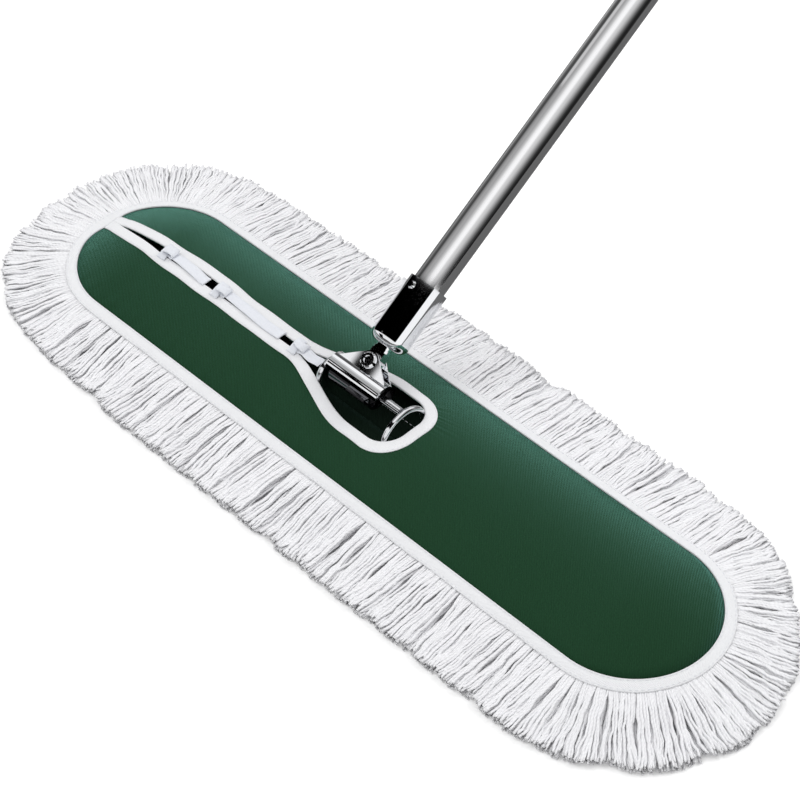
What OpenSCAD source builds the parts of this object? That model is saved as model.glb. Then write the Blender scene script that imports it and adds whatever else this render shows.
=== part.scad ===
// Dust mop: a crowned canvas pad with a yarn fringe on a wire frame,
// held by a sprung swivel clip at the foot of a tube handle.
// Millimetres, +Z up, floor at z = 0, mop head along X, handle leaning back to +Y.

/* [Mop pad] */
// Length of the green canvas cover
pad_length = 600; // [580:5:640]
// Width of the green canvas cover
pad_width = 125; // [122:1:130]
// Height of the cover's edge above the floor
edge_height = 16; // [15.5:0.25:17]
// Rise of the cover's middle above its edge
crown_height = 15; // [14:0.5:16]
// Thickness of the canvas cover
canvas_thickness = 1.4; // [1:0.1:1.6]
// Thickness of the yarn sole
sole_thickness = 8; // [7:0.25:8.25]
// Thickness of the canvas base panel
base_thickness = 1.5; // [1.2:0.1:1.6]
// Width of the white hem tape
hem_width = 17; // [14:0.5:20]
// Fall of the hem tape from its inner to its outer edge
hem_drop = 4; // [3:0.25:5]
// Thickness of the hem tape
hem_thickness = 1.4; // [1:0.1:1.8]
// Reach of the yarn fringe beyond the hem tape
fringe_reach = 45; // [36:1:56]
// Depth of the tufts in the fringe outline
tuft_depth = 3; // [1:0.5:5]
// Number of tufts along each straight side
side_tufts = 40; // [30:1:50]
// Number of tufts round each end
end_tufts = 32; // [24:1:40]

/* [Keyhole, slit and ties] */
// Width of the keyhole opening
keyhole_width = 58; // [56:1:60]
// Distance from the clip's middle to the rounded end of the keyhole
keyhole_reach = 55; // [54:0.5:57]
// Distance from the clip's middle to where the keyhole runs into the slit
keyhole_taper = 70; // [68:1:74]
// Gap of the slit
slit_gap = 6; // [5:0.5:8]
// Distance from the slit's far tip to the end of the cover
slit_margin = 14; // [13:0.5:20]
// Width of the white binding
binding_width = 8.5; // [7:0.5:9.5]
// Thickness of one layer of the binding
binding_thickness = 0.8; // [0.6:0.1:1]
// Width of the tie tapes
tie_width = 9; // [7:0.5:11]
// Radius of the tie knots
knot_radius = 3.6; // [3:0.1:4]

/* [Wire frame] */
// Place of the frame and clip along the pad
clip_offset = -20; // [-24:1:-16]
// Height of the axle rod above the floor
rod_height = 42; // [41.5:0.25:43]
// Diameter of the axle rod
rod_diameter = 6; // [5.5:0.25:6.5]
// Distance from the clip's middle to the wide hooped cross wire
wide_hoop_offset = 44; // [42:0.5:44.5]
// Distance from the clip's middle to the narrow hooped cross wire
narrow_hoop_offset = 30.5; // [30:0.25:31]
// Diameter of the cross wires
hoop_wire = 4.8; // [4:0.2:5]
// Radius of the wide hoop
wide_hoop_radius = 20.5; // [19:0.25:20.5]
// Radius of the narrow hoop, which stands in the neck of the keyhole
narrow_hoop_radius = 10; // [9:0.25:10.25]
// Diameter of the outer loop's wire
loop_wire = 6; // [5:0.25:6]
// Gap from the outer loop to the nearer end of the pad
loop_end_gap = 8; // [7:0.5:20]
// Width over the outer loop
loop_width = 104; // [98:1:106]

/* [Spring clip] */
// Length of the pressed saddle
clip_length = 50; // [48:1:52]
// Outer radius of the saddle
clip_radius = 11; // [10.75:0.25:11.25]
// Sheet thickness of the saddle and gate
sheet_thickness = 1.8; // [1.5:0.1:2]
// Height of the swivel rivet above the axle rod
rivet_rise = 16.5; // [16.25:0.25:17.5]
// Radius of the ears round the rivet
ear_radius = 7.5; // [7:0.25:7.5]
// Half the distance between the ears' inner faces
ear_gap_half = 5.7; // [5.6:0.1:6]
// Diameter of the rivet's shaft
rivet_diameter = 6; // [5:0.25:6.5]
// Diameter of the rivet's head
rivet_head = 12; // [10.5:0.5:13]
// Length of the gate
gate_length = 40; // [38:1:42]
// Distance of the hinge pin from the axle rod
hinge_reach = 14.4; // [14.4:0.1:15]
// Diameter of the hinge pin
hinge_pin_diameter = 3; // [2.6:0.1:3.2]
// Radius of the hinge knuckles
knuckle_radius = 3; // [2.8:0.1:3]
// Wire diameter of the torsion spring
spring_wire = 0.9; // [0.8:0.05:0.9]
// Number of curls of the torsion spring
spring_curls = 7; // [5:1:7]
// Pitch of the spring's curls
spring_pitch = 1.5; // [1.4:0.05:1.6]

/* [Handle] */
// Lean of the handle from upright
handle_lean = 56.2; // [30:0.1:60]
// Outer diameter of the handle tube
tube_diameter = 25.4; // [24:0.1:26]
// Wall of the handle tube
tube_wall = 0.8; // [0.6:0.1:1.2]
// Length of the handle tube
tube_length = 1180; // [1000:10:1400]
// Height of the socket's rounded bottom above the axle rod
socket_base = 31.5; // [31.5:0.25:33]
// Length of the socket
socket_length = 53; // [48:1:58]
// Wall of the socket
socket_wall = 2.6; // [2:0.1:2.8]
// Radius of the socket's rounded bottom edge
socket_round = 7; // [5:0.5:8]
// Thickness of the yoke's tongue
tongue_thickness = 9; // [8:0.2:9.2]
// Width of the yoke's tongue
tongue_width = 12; // [10:0.5:12.5]
// Radius of the yoke's collars
collar_radius = 7.4; // [6.5:0.1:7.5]
// Diameter of the socket screw's head
screw_head = 6.6; // [5.5:0.1:7.5]
// Length of the hand grip
grip_length = 132; // [110:2:160]
// Wall of the hand grip
grip_wall = 2.7; // [2:0.1:3.2]
// Number of grooves round the hand grip
grip_grooves = 9; // [5:1:12]
// Radius of the hang hole
hang_radius = 5; // [4:0.5:6]

/* [Clearances] */
// Gap round soft parts
soft_clearance = 0.3; // [0.25:0.05:0.35]
// Gap between the layers of sewn cloth
layer_clearance = 0.15; // [0.12:0.01:0.2]
// Radial clearance of turning fits
running_clearance = 0.06; // [0.04:0.01:0.1]
// Gap at welded and seated joints
seat_clearance = 0.05; // [0.02:0.01:0.08]
// Length by which cutting shapes run past the faces they cut
overrun = 4; // [2:0.5:6]

/* [Hidden] */
$fn = 64;

// Pad
pad_half = pad_width / 2;
pad_straight = pad_length / 2 - pad_half;
crown_top = edge_height + crown_height;
crown_radius = (pad_half * pad_half + crown_height * crown_height) / (2 * crown_height);
crown_centre = crown_top - crown_radius;
base_bottom = sole_thickness + soft_clearance;
base_top = base_bottom + base_thickness;
function crown_at(r) = crown_centre + sqrt(crown_radius * crown_radius - r * r);

// Hem and fringe
hem_lap_share = 0.025;
hem_in = pad_half - pad_half * hem_lap_share;
hem_out = pad_half + hem_width;
hem_low_in = crown_at(hem_in) + soft_clearance;
hem_low_edge = edge_height + soft_clearance;
hem_low_out = hem_low_edge - hem_drop;
fringe_in = pad_half + 2 * soft_clearance;
fringe_out = hem_out + fringe_reach;
fringe_root = edge_height - canvas_thickness;
fringe_hem = hem_low_out - soft_clearance;
fringe_shares = [0.06, 0.45, 0.8, 1];
fringe_height_shares = [1, 0.78, 0.5, 0.2];
tuft_shares = [0, 0.35, 0.7, 1];
tuft_rise_share = 0.4;
tuft_wander_share = 0.9;
wander_steps = [37, 101];
side_steps = 2 * side_tufts;
end_steps = 2 * end_tufts;

// Keyhole and slit, in pad coordinates
keyhole_corner_share = 0.83;
keyhole_half = keyhole_width / 2;
keyhole_corner = keyhole_half * keyhole_corner_share;
keyhole_rise = keyhole_half - keyhole_corner;
keyhole_x = clip_offset + keyhole_reach - keyhole_corner;
taper_x = clip_offset - keyhole_taper;
slit_half = slit_gap / 2;
slit_tip_share = 0.4;
slit_tip_half = slit_half * slit_tip_share;
slit_tip = slit_margin - pad_length / 2;
taper_angle = 360 + tangent_angle([keyhole_x, keyhole_rise], keyhole_corner, [taper_x, 0], slit_half, -1);
arc_steps = 20;
binding_strips = 3;
cover_strips = 6;
slit_steps = 24;
binding_step = 2 * keyhole_corner;
quarter_way = PI / 2 * pad_half;
side_way = 2 * pad_straight;
half_way = 2 * quarter_way + side_way;
slit_way = quarter_way + taper_x + pad_straight;
taper_way_share = 0.63;
taper_way = quarter_way + taper_way_share * side_way;
tie_shares = [0.301, 0.602, 1.03];
tie_tail_shares = [0.2, 0.275, 0.122];
slit_length = taper_x - slit_tip;
tie_thickness = binding_thickness;
tie_bottom = crown_top + binding_thickness + layer_clearance + soft_clearance;

// Wire frame
rod_radius = rod_diameter / 2;
hoop_wire_radius = hoop_wire / 2;
loop_wire_radius = loop_wire / 2;
loop_height = base_top + soft_clearance + loop_wire_radius;
loop_length = pad_length - 2 * (abs(clip_offset) + loop_end_gap);
loop_half = loop_width / 2 - loop_wire_radius;
loop_straight = loop_length / 2 - loop_wire_radius - loop_half;
foot_reach = rod_height - loop_height;
leg_end = loop_half - loop_wire_radius - seat_clearance;
rod_left = -narrow_hoop_offset + hoop_wire_radius + seat_clearance;
rod_right = wide_hoop_offset - hoop_wire_radius - seat_clearance;

// Clip
clip_inner = clip_radius - sheet_thickness;
clip_middle = (clip_radius + clip_inner) / 2;
saddle_back_angle = 15;
saddle_web_angle = 5;
saddle_front_angle = 205;
gate_gap_angle = 2.5;
gate_front_angle = saddle_front_angle + gate_gap_angle;
gate_back_angle = 345;
gate_web_angle = 1;
gate_root_angle = 20;
gate_web_share = 0.25;
wedge_reach = 2 * clip_radius;
hinge_angle = 15.3;
hinge_y = hinge_reach * cos(hinge_angle);
hinge_z = hinge_reach * sin(hinge_angle);
hinge_pin_radius = hinge_pin_diameter / 2;
ear_outer = ear_gap_half + sheet_thickness;
ear_foot = sqrt(pow(clip_middle, 2) - pow((ear_gap_half + ear_outer) / 2, 2));
gusset_share = 0.92;
gusset_half = gusset_share * clip_length / 2;
ear_angle = tangent_angle([0, rivet_rise], ear_radius, [gusset_half, ear_foot], 0, 1);
rivet_radius = rivet_diameter / 2;
tongue_radius = rivet_rise - clip_inner;
window_half = tongue_radius + 2 * soft_clearance;
bearing_top = rivet_rise - tongue_radius - 2 * soft_clearance;
bearing_length_share = 0.6;
bearing_length = bearing_length_share * clip_length;
bearing_outer = clip_inner - seat_clearance;
bearing_angle_margin = 4;
knuckle_gap = soft_clearance;
gate_half = gate_length / 2;
gate_knuckle_share = 0.35;
saddle_knuckle_share = 0.26;
gate_knuckle_in = gate_half * (1 - gate_knuckle_share);
saddle_knuckle_out = gate_knuckle_in - knuckle_gap;
saddle_knuckle_in = saddle_knuckle_out - gate_half * saddle_knuckle_share;
pin_head_radius_share = 1.45;
pin_head_thickness = hinge_pin_radius;
lip_length_share = 0.5;
lip_inner_share = 0.1;
lip_angle = 212;
lip_reach = clip_radius + 3 * sheet_thickness;
rivet_head_thickness_shares = [0.2, 0.15];
rivet_head_top_share = 0.84;
rivet_recess_share = 0.52;
washer_share = 0.92;
spring_radius = hinge_pin_radius + spring_wire + soft_clearance / 2;
spring_rings = 8;
spring_sides = 6;
spring_half = spring_curls * spring_pitch / 2;
spring_leg_shares = [2.2, 2.1];
spring_gap = spring_pitch - spring_wire;
spring_gap_share = 0.4;
echo(str("spring least gap between curls ", spring_gap));
assert(spring_gap > spring_gap_share * spring_wire, "spring curls too close");

// Handle
tube_radius = tube_diameter / 2;
tube_inner = tube_radius - tube_wall;
socket_bore = tube_radius + seat_clearance;
socket_radius = socket_bore + socket_wall;
socket_top = socket_base + socket_length;
socket_floor_share = 0.16;
tube_start = socket_base + socket_floor_share * socket_length;
tube_end = tube_start + tube_length;
stem_share = 0.66;
stem_radius = stem_share * collar_radius;
stem_head_share = 1.5;
stem_head_height = stem_radius * (stem_head_share - 1);
collar_stack = socket_base - soft_clearance / 2;
collar_height_share = 0.3;
collar_height = collar_height_share * collar_radius;
collar_waist_share = 0.86;
collar_base = collar_stack - 2 * collar_height;
screw_drop_share = 0.13;
screw_height = socket_top - screw_drop_share * socket_length;
screw_turn = 12;
screw_radius_share = 0.46;
screw_radius = screw_radius_share * screw_head / 2;
screw_head_height_share = 0.3;
screw_depth = tube_inner - 2 * tube_wall;
screw_slot_shares = [0.18, 0.45];
grip_radius = tube_radius + grip_wall;
grip_top = tube_end - soft_clearance;
grip_base = grip_top - grip_length;
grip_round_share = 0.45;
grip_round = grip_wall * grip_round_share;
groove_radius_share = 0.45;
groove_radius = groove_radius_share * grip_wall;
groove_span_share = 0.7;
cap_radius = grip_radius;
cap_plug = tube_inner - running_clearance;
cap_plug_depth_share = 1.4;
cap_flange_share = 0.35;
cap_flange = cap_flange_share * cap_radius;
lug_share = 0.36;
lug_thickness = 2 * lug_share * cap_radius;
lug_radius_share = 0.8;
lug_radius = cap_radius * lug_radius_share;
hang_height = tube_end + cap_flange + lug_radius;

// Angle of the outer tangent's normal on two circles, side = 1 or -1
function tangent_angle(a, ra, b, rb, side) =
    atan2(b[1] - a[1], b[0] - a[0]) + side * acos((ra - rb) / norm(b - a));
function polar(radius, angle) = [radius * cos(angle), radius * sin(angle)];

module stadium(straight, radius) {
    square([2 * straight, 2 * radius], center = true);
    for (end = [-1, 1]) translate([end * straight, 0]) circle(r = radius);
}

// Sweeps a profile of radius and height round a stadium
module around(straight) {
    for (side = [0, 1]) mirror([0, side, 0])
        translate([-straight, 0, 0]) rotate([90, 0, 90]) linear_extrude(2 * straight) children();
    for (end = [-1, 1]) translate([end * straight, 0, 0]) rotate(-end * 90)
        rotate_extrude(angle = 180) children();
}

module along_x(from, to) {
    translate([from, 0, 0]) rotate([90, 0, 90]) linear_extrude(to - from) children();
}

module along_y(from, to) {
    translate([0, to, 0]) rotate([90, 0, 0]) linear_extrude(to - from) children();
}

module wedge(from, to) {
    middle = (from + to) / 2;
    quarter = (to - from) / 4;
    polygon([[0, 0], polar(wedge_reach, from), polar(wedge_reach, from + quarter), polar(wedge_reach, middle),
        polar(wedge_reach, to - quarter), polar(wedge_reach, to)]);
}

module ring_sector(outer, inner, from, to) {
    intersection() {
        difference() {
            circle(r = outer);
            circle(r = inner);
        }
        wedge(from, to);
    }
}

module in_clip() {
    translate([clip_offset, 0, rod_height]) rotate([-handle_lean, 0, 0]) children();
}

// Outline of the keyhole and slit, grown outwards
function arc(centre, radius, from, to) = [for (i = [0 : arc_steps])
    centre + polar(radius, from + (to - from) * i / arc_steps)];
function opening_points(grow) = concat(
    [[slit_tip - grow, -slit_tip_half - grow], [taper_x, 0] + polar(slit_half + grow, -taper_angle)],
    arc([keyhole_x, -keyhole_rise], keyhole_corner + grow, -taper_angle, 0),
    arc([keyhole_x, keyhole_rise], keyhole_corner + grow, 0, taper_angle),
    [[taper_x, 0] + polar(slit_half + grow, taper_angle), [slit_tip - grow, slit_tip_half + grow]]);

module yarn_sole() color([0.86, 0.86, 0.87])
    linear_extrude(sole_thickness) stadium(pad_straight, pad_half);

module base_panel() color([0.09, 0.16, 0.12])
    translate([0, 0, base_bottom]) linear_extrude(base_thickness) stadium(pad_straight, pad_half);

// Point of the pad's edge at a way along it, from the middle of its left end
function edge_point(way) =
    way < quarter_way ? [-pad_straight, 0] + polar(pad_half, 180 + 90 * way / quarter_way) :
    way < quarter_way + side_way ? [way - quarter_way - pad_straight, -pad_half] :
    way < 3 * quarter_way + side_way ?
        [pad_straight, 0] + polar(pad_half, 270 + 90 * (way - quarter_way - side_way) / quarter_way) :
    way < 3 * quarter_way + 2 * side_way ? [pad_straight - (way - 3 * quarter_way - side_way), pad_half] :
    [-pad_straight, 0] + polar(pad_half, 90 + 90 * (way - 3 * quarter_way - 2 * side_way) / quarter_way);
function way_steps(from, to, steps) = [for (i = [0 : steps - 1]) from + (to - from) * i / steps];
half_ways = concat(way_steps(slit_tip_half, slit_way, slit_steps), way_steps(slit_way, taper_way, slit_steps),
    way_steps(taper_way, half_way - keyhole_rise, arc_steps), [half_way - keyhole_rise]);
half_count = len(half_ways);
cover_ways = concat(half_ways, [for (i = [half_count - 1 : -1 : 0]) 2 * half_way - half_ways[i]]);
cover_inner = fine_points(opening_points(0));
cover_count = len(cover_inner);
function cover_point(k, ring, drop) =
    let (a = cover_inner[k], b = edge_point(cover_ways[k]), p = a + (b - a) * ring / cover_strips)
    [p[0], p[1], crown_over(p) - drop];
function cover_section(k) = concat(
    [for (ring = [0 : cover_strips]) cover_point(k, ring, 0)],
    [for (ring = [cover_strips : -1 : 0]) cover_point(k, ring, canvas_thickness)]);
assert(len(cover_ways) == cover_count, "cover stations differ");

module pad_cover() color([0.14, 0.28, 0.19]) polyhedron(
    points = [for (k = [0 : cover_count - 1]) for (p = cover_section(k)) p],
    faces = ring_faces(cover_count, 2 * (cover_strips + 1)),
    convexity = 8);

module hem_tape() color([0.93, 0.93, 0.94]) around(pad_straight)
    polygon([[hem_in, hem_low_in], [pad_half, hem_low_edge], [hem_out, hem_low_out],
        [hem_out, hem_low_out + hem_thickness], [pad_half, hem_low_edge + hem_thickness],
        [hem_in, hem_low_in + hem_thickness]]);

// Height of the crown above a point of the pad
function crown_over(p) = crown_at(norm([max(abs(p[0]) - pad_straight, 0), p[1]]));
// Edge of the opening with the long slit sides cut into short steps, closed
function between(a, b, steps) = [for (i = [0 : steps - 1]) a + (b - a) * i / steps];
function fine_points(points) = [for (i = [0 : len(points) - 1])
    let (a = points[i], b = points[(i + 1) % len(points)])
    for (p = between(a, b, norm(b - a) > binding_step ? slit_steps : 1)) p];
binding_rings = [for (share = [0 : 1 / binding_strips : 1])
    fine_points(opening_points(share * binding_width))];
binding_count = len(binding_rings[0]);
function binding_point(ring, k, lift) = let (p = binding_rings[ring][k]) [p[0], p[1], crown_over(p) + lift];
function binding_section(k) = concat(
    [for (ring = [0 : binding_strips]) binding_point(ring, k, layer_clearance + binding_thickness)],
    [for (ring = [binding_strips : -1 : 0]) binding_point(ring, k, layer_clearance)]);
binding_size = 2 * (binding_strips + 1);

module slit_binding() color([0.94, 0.94, 0.95]) polyhedron(
    points = [for (k = [0 : binding_count - 1]) for (p = binding_section(k)) p],
    faces = ring_faces(binding_count, binding_size),
    convexity = 8);

// Triangles of a closed ring of sections
function ring_faces(count, size) = [for (k = [0 : count - 1]) for (j = [0 : size - 1])
    let (n = (k + 1) % count, m = (j + 1) % size)
    for (t = [[k * size + j, n * size + j, n * size + m], [k * size + j, n * size + m, k * size + m]]) t];

// Stations round the pad: [middle x, outward angle]
fringe_stations = concat(
    [for (i = [0 : side_steps - 1]) [pad_straight * (1 - 2 * i / side_steps), 90]],
    [for (i = [0 : end_steps - 1]) [-pad_straight, 90 + 180 * i / end_steps]],
    [for (i = [0 : side_steps - 1]) [pad_straight * (2 * i / side_steps - 1), 270]],
    [for (i = [0 : end_steps - 1]) [pad_straight, 270 + 180 * i / end_steps]]);
fringe_count = len(fringe_stations);
function tuft(k) = (k % 2 == 0 ? 1 : -1)
    + tuft_wander_share * sin(wander_steps[0] * k) * sin(wander_steps[1] * k);
function fringe_section(k) = concat(
    [[fringe_in, 0], [fringe_in, fringe_root], [hem_out, fringe_hem]],
    [for (j = [0 : len(fringe_shares) - 1])
        [hem_out + fringe_reach * fringe_shares[j] + tuft_depth * tuft_shares[j] * tuft(k),
        fringe_hem * fringe_height_shares[j]
            + tuft_depth * tuft_rise_share * tuft_shares[len(tuft_shares) - 1 - j]
            * sign(j) * tuft(k)]],
    [[fringe_out + tuft_depth * tuft(k), 0]]);
section_count = len(fringe_section(0));
function station_point(k, p) = [fringe_stations[k][0] + p[0] * cos(fringe_stations[k][1]),
    p[0] * sin(fringe_stations[k][1]), p[1]];

module yarn_fringe() color([0.88, 0.88, 0.89]) polyhedron(
    points = [for (k = [0 : fringe_count - 1]) for (p = fringe_section(k)) station_point(k, p)],
    faces = ring_faces(fringe_count, section_count),
    convexity = 8);

module tie(place) color([0.92, 0.92, 0.93])
    translate([slit_tip + tie_shares[place] * slit_length, 0, tie_bottom]) {
        translate([0, 0, knot_radius]) rotate([90, 0, 0])
            cylinder(r = knot_radius, h = tie_width, center = true);
        translate([-knot_radius, -binding_width, 0])
            cube([2 * knot_radius, 2 * binding_width, tie_thickness]);
        translate([0, -tie_width / 2, 0])
            cube([tie_tail_shares[place] * slit_length, tie_width, tie_thickness]);
    }

module tie_left() tie(0);
module tie_middle() tie(1);
module tie_right() tie(2);

module frame_loop() color([0.72, 0.73, 0.75])
    translate([clip_offset, 0, loop_height]) around(loop_straight)
        translate([loop_half, 0]) circle(r = loop_wire_radius);

// Hoop that carries the rod, with feet that run out to the loop
module cross_wire(offset, radius) color([0.75, 0.76, 0.78])
    translate([clip_offset + offset, 0, 0]) rotate([90, 0, 90]) {
        translate([0, rod_height - radius, 0]) rotate_extrude(angle = 180)
            translate([radius, 0]) circle(r = hoop_wire_radius);
        for (half = [0, 1]) mirror([half, 0, 0]) {
            translate([foot_reach, rod_height - radius, 0]) rotate(180)
                rotate_extrude(angle = 90) translate([foot_reach - radius, 0]) circle(r = hoop_wire_radius);
            translate([foot_reach, loop_height, 0]) rotate([0, 90, 0])
                cylinder(r = hoop_wire_radius, h = leg_end - foot_reach);
        }
    }

module cross_wire_left() cross_wire(-narrow_hoop_offset, narrow_hoop_radius);
module cross_wire_right() cross_wire(wide_hoop_offset, wide_hoop_radius);

module axle_rod() color([0.75, 0.76, 0.78])
    translate([clip_offset + rod_left, 0, rod_height]) rotate([0, 90, 0])
        cylinder(r = rod_radius, h = rod_right - rod_left);

module ear_outline() {
    foot = [gusset_half, ear_foot];
    touch = polar(ear_radius, ear_angle);
    difference() {
        union() {
            translate([0, rivet_rise]) circle(r = ear_radius);
            polygon([[touch[0], rivet_rise + touch[1]], foot,
                [-foot[0], foot[1]], [-touch[0], rivet_rise + touch[1]]]);
        }
        translate([0, rivet_rise]) circle(r = rivet_radius + seat_clearance);
    }
}

module knuckle_outline(web) {
    difference() {
        union() {
            translate([hinge_y, hinge_z]) circle(r = knuckle_radius);
            polygon(web);
        }
        translate([hinge_y, hinge_z]) circle(r = hinge_pin_radius + running_clearance);
    }
}

module clip_saddle() color([0.8, 0.81, 0.83]) in_clip() {
    difference() {
        along_x(-clip_length / 2, clip_length / 2)
            ring_sector(clip_radius, clip_inner, saddle_back_angle, saddle_front_angle);
        translate([-window_half, -ear_gap_half, 0])
            cube([2 * window_half, 2 * ear_gap_half, clip_radius + overrun]);
    }
    along_y(-ear_outer, -ear_gap_half) ear_outline();
    along_y(ear_gap_half, ear_outer) ear_outline();
    for (side = [0, 1]) mirror([side, 0, 0]) along_x(saddle_knuckle_in, saddle_knuckle_out)
        knuckle_outline([polar(clip_middle, saddle_back_angle + saddle_web_angle),
            polar(clip_middle, 3 * saddle_back_angle),
            [hinge_y, hinge_z + knuckle_radius], [hinge_y, hinge_z]]);
}

module rod_bearing() color([0.12, 0.12, 0.13]) in_clip()
    along_x(-bearing_length / 2, bearing_length / 2) difference() {
        ring_sector(bearing_outer, rod_radius + running_clearance, saddle_back_angle + bearing_angle_margin,
            saddle_front_angle - bearing_angle_margin);
        translate([-clip_radius, bearing_top]) square([2 * clip_radius, clip_radius]);
    }

module rivet_head_solid() {
    head_radius = rivet_head / 2;
    lower = rivet_head_thickness_shares[0] * head_radius;
    upper = rivet_head_thickness_shares[1] * head_radius;
    difference() {
        union() {
            cylinder(r = head_radius, h = lower);
            translate([0, 0, lower])
                cylinder(r1 = head_radius, r2 = rivet_head_top_share * head_radius, h = upper);
        }
        translate([0, 0, lower]) cylinder(r = rivet_recess_share * head_radius, h = overrun);
    }
}

module swivel_rivet() color([0.82, 0.83, 0.85]) in_clip() translate([0, 0, rivet_rise]) {
    rotate([90, 0, 0]) cylinder(r = rivet_radius, h = 2 * ear_outer, center = true);
    translate([0, -ear_outer, 0]) rotate([90, 0, 0]) rivet_head_solid();
    translate([0, ear_outer, 0]) rotate([-90, 0, 0]) rivet_head_solid();
}

module washer(side) color([0.7, 0.71, 0.72]) in_clip() {
    inner = tongue_thickness / 2 + seat_clearance;
    outer = ear_gap_half - seat_clearance;
    along_y(side > 0 ? inner : -outer, side > 0 ? outer : -inner) translate([0, rivet_rise]) difference() {
        circle(r = washer_share * tongue_radius);
        circle(r = rivet_radius + seat_clearance);
    }
}

module washer_front() washer(-1);
module washer_back() washer(1);

module hinge_pin() color([0.78, 0.79, 0.8]) in_clip() translate([0, hinge_y, hinge_z]) rotate([0, 90, 0]) {
    cylinder(r = hinge_pin_radius, h = 2 * (gate_half + knuckle_gap), center = true);
    for (side = [0, 1]) mirror([0, 0, side]) translate([0, 0, gate_half + knuckle_gap])
        cylinder(r = pin_head_radius_share * hinge_pin_radius, h = pin_head_thickness);
}

// Spring centre line in the clip's frame: leg up, curls, leg down
spring_line = concat(
    [[-spring_half, hinge_y - spring_radius, hinge_z + spring_leg_shares[0] * spring_radius]],
    [for (i = [0 : spring_curls * spring_rings]) let (turn = 180 + 360 * i / spring_rings)
        [spring_pitch * i / spring_rings - spring_half, hinge_y + spring_radius * cos(turn),
        hinge_z + spring_radius * sin(turn)]],
    [[spring_half, hinge_y - spring_radius, hinge_z - spring_leg_shares[1] * spring_radius]]);
spring_count = len(spring_line);
function unit(v) = v / norm(v);
function spring_way(i) = unit(spring_line[min(i + 1, spring_count - 1)] - spring_line[max(i - 1, 0)]);
function spring_out(i) = unit(cross(spring_way(i), [1, 0, 0]));
function spring_side(i) = cross(spring_way(i), spring_out(i));

module gate_spring() color([0.6, 0.61, 0.63]) in_clip() polyhedron(
    points = [for (i = [0 : spring_count - 1]) for (j = [0 : spring_sides - 1])
        spring_line[i] + spring_wire / 2 * (cos(360 * j / spring_sides) * spring_out(i)
            + sin(360 * j / spring_sides) * spring_side(i))],
    faces = concat(
        [[for (j = [0 : spring_sides - 1]) j]],
        [for (i = [0 : spring_count - 2]) for (j = [0 : spring_sides - 1])
            let (m = (j + 1) % spring_sides)
            for (t = [[i * spring_sides + j, (i + 1) * spring_sides + j, (i + 1) * spring_sides + m],
                [i * spring_sides + j, (i + 1) * spring_sides + m, i * spring_sides + m]]) t],
        [[for (j = [spring_sides - 1 : -1 : 0]) (spring_count - 1) * spring_sides + j]]),
    convexity = 8);

module clip_gate() color([0.8, 0.81, 0.83]) in_clip() {
    along_x(-gate_half, gate_half) ring_sector(clip_radius, clip_inner, gate_front_angle, gate_back_angle);
    along_x(lip_inner_share * gate_half, gate_half) polygon([polar(clip_inner, gate_front_angle),
        polar(clip_radius, gate_front_angle), polar(lip_reach, lip_angle),
        polar(lip_reach, lip_angle + 2 * gate_gap_angle), polar(clip_inner, lip_angle + 2 * gate_gap_angle)]);
    for (side = [0, 1]) mirror([side, 0, 0]) along_x(gate_knuckle_in, gate_half)
        knuckle_outline([polar(clip_middle + gate_web_share * sheet_thickness, gate_back_angle - gate_web_angle),
            polar(clip_middle, gate_back_angle - gate_root_angle),
            [hinge_y + knuckle_radius * cos(45), hinge_z - knuckle_radius * sin(45)],
            [hinge_y, hinge_z], [hinge_y - knuckle_radius, hinge_z]]);
}

module gate_pad() color([0.12, 0.12, 0.13]) in_clip()
    along_x(-bearing_length / 2, bearing_length / 2) ring_sector(bearing_outer, rod_radius + running_clearance,
        gate_front_angle + bearing_angle_margin, gate_back_angle - bearing_angle_margin);

module swivel_yoke() color([0.78, 0.79, 0.81]) in_clip() {
    along_y(-tongue_thickness / 2, tongue_thickness / 2) difference() {
        union() {
            translate([0, rivet_rise]) circle(r = tongue_radius);
            translate([-tongue_width / 2, rivet_rise]) square([tongue_width, collar_base - rivet_rise]);
        }
        translate([0, rivet_rise]) circle(r = rivet_radius + running_clearance);
    }
    translate([0, 0, collar_base]) cylinder(r = collar_radius, h = collar_height);
    translate([0, 0, collar_base + collar_height])
        cylinder(r = collar_waist_share * collar_radius, h = collar_height);
    translate([0, 0, collar_stack]) cylinder(r = stem_radius, h = tube_start - collar_stack);
    translate([0, 0, tube_start]) cylinder(r = stem_head_share * stem_radius, h = stem_head_height);
}

module handle_socket() color([0.83, 0.84, 0.86]) in_clip() difference() {
    rotate_extrude() difference() {
        union() {
            translate([0, socket_base]) square([socket_radius - socket_round, socket_length]);
            translate([0, socket_base + socket_round]) square([socket_radius, socket_length - socket_round]);
            translate([socket_radius - socket_round, socket_base + socket_round]) circle(r = socket_round);
        }
        translate([0, tube_start]) square([socket_bore, socket_length]);
        square([stem_radius + seat_clearance, socket_top]);
    }
    screw_place() cylinder(r = screw_radius + seat_clearance, h = socket_radius + overrun);
}

// Frame with +Z pointing out of the socket at the screw
module screw_place() {
    translate([0, 0, screw_height]) rotate([0, 0, -screw_turn]) rotate([90, 0, 0]) children();
}

module socket_screw() color([0.8, 0.81, 0.83]) in_clip() screw_place() difference() {
    union() {
        translate([0, 0, screw_depth]) cylinder(r = screw_radius, h = socket_radius - screw_depth);
        translate([0, 0, socket_radius]) cylinder(r1 = screw_head / 2, r2 = screw_head / 2 * (1 - screw_head_height_share),
            h = screw_head_height_share * screw_head);
    }
    translate([-screw_head, -screw_slot_shares[0] * screw_head / 2,
        socket_radius + (1 - screw_slot_shares[1]) * screw_head_height_share * screw_head])
        cube([2 * screw_head, screw_slot_shares[0] * screw_head, overrun]);
}

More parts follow.
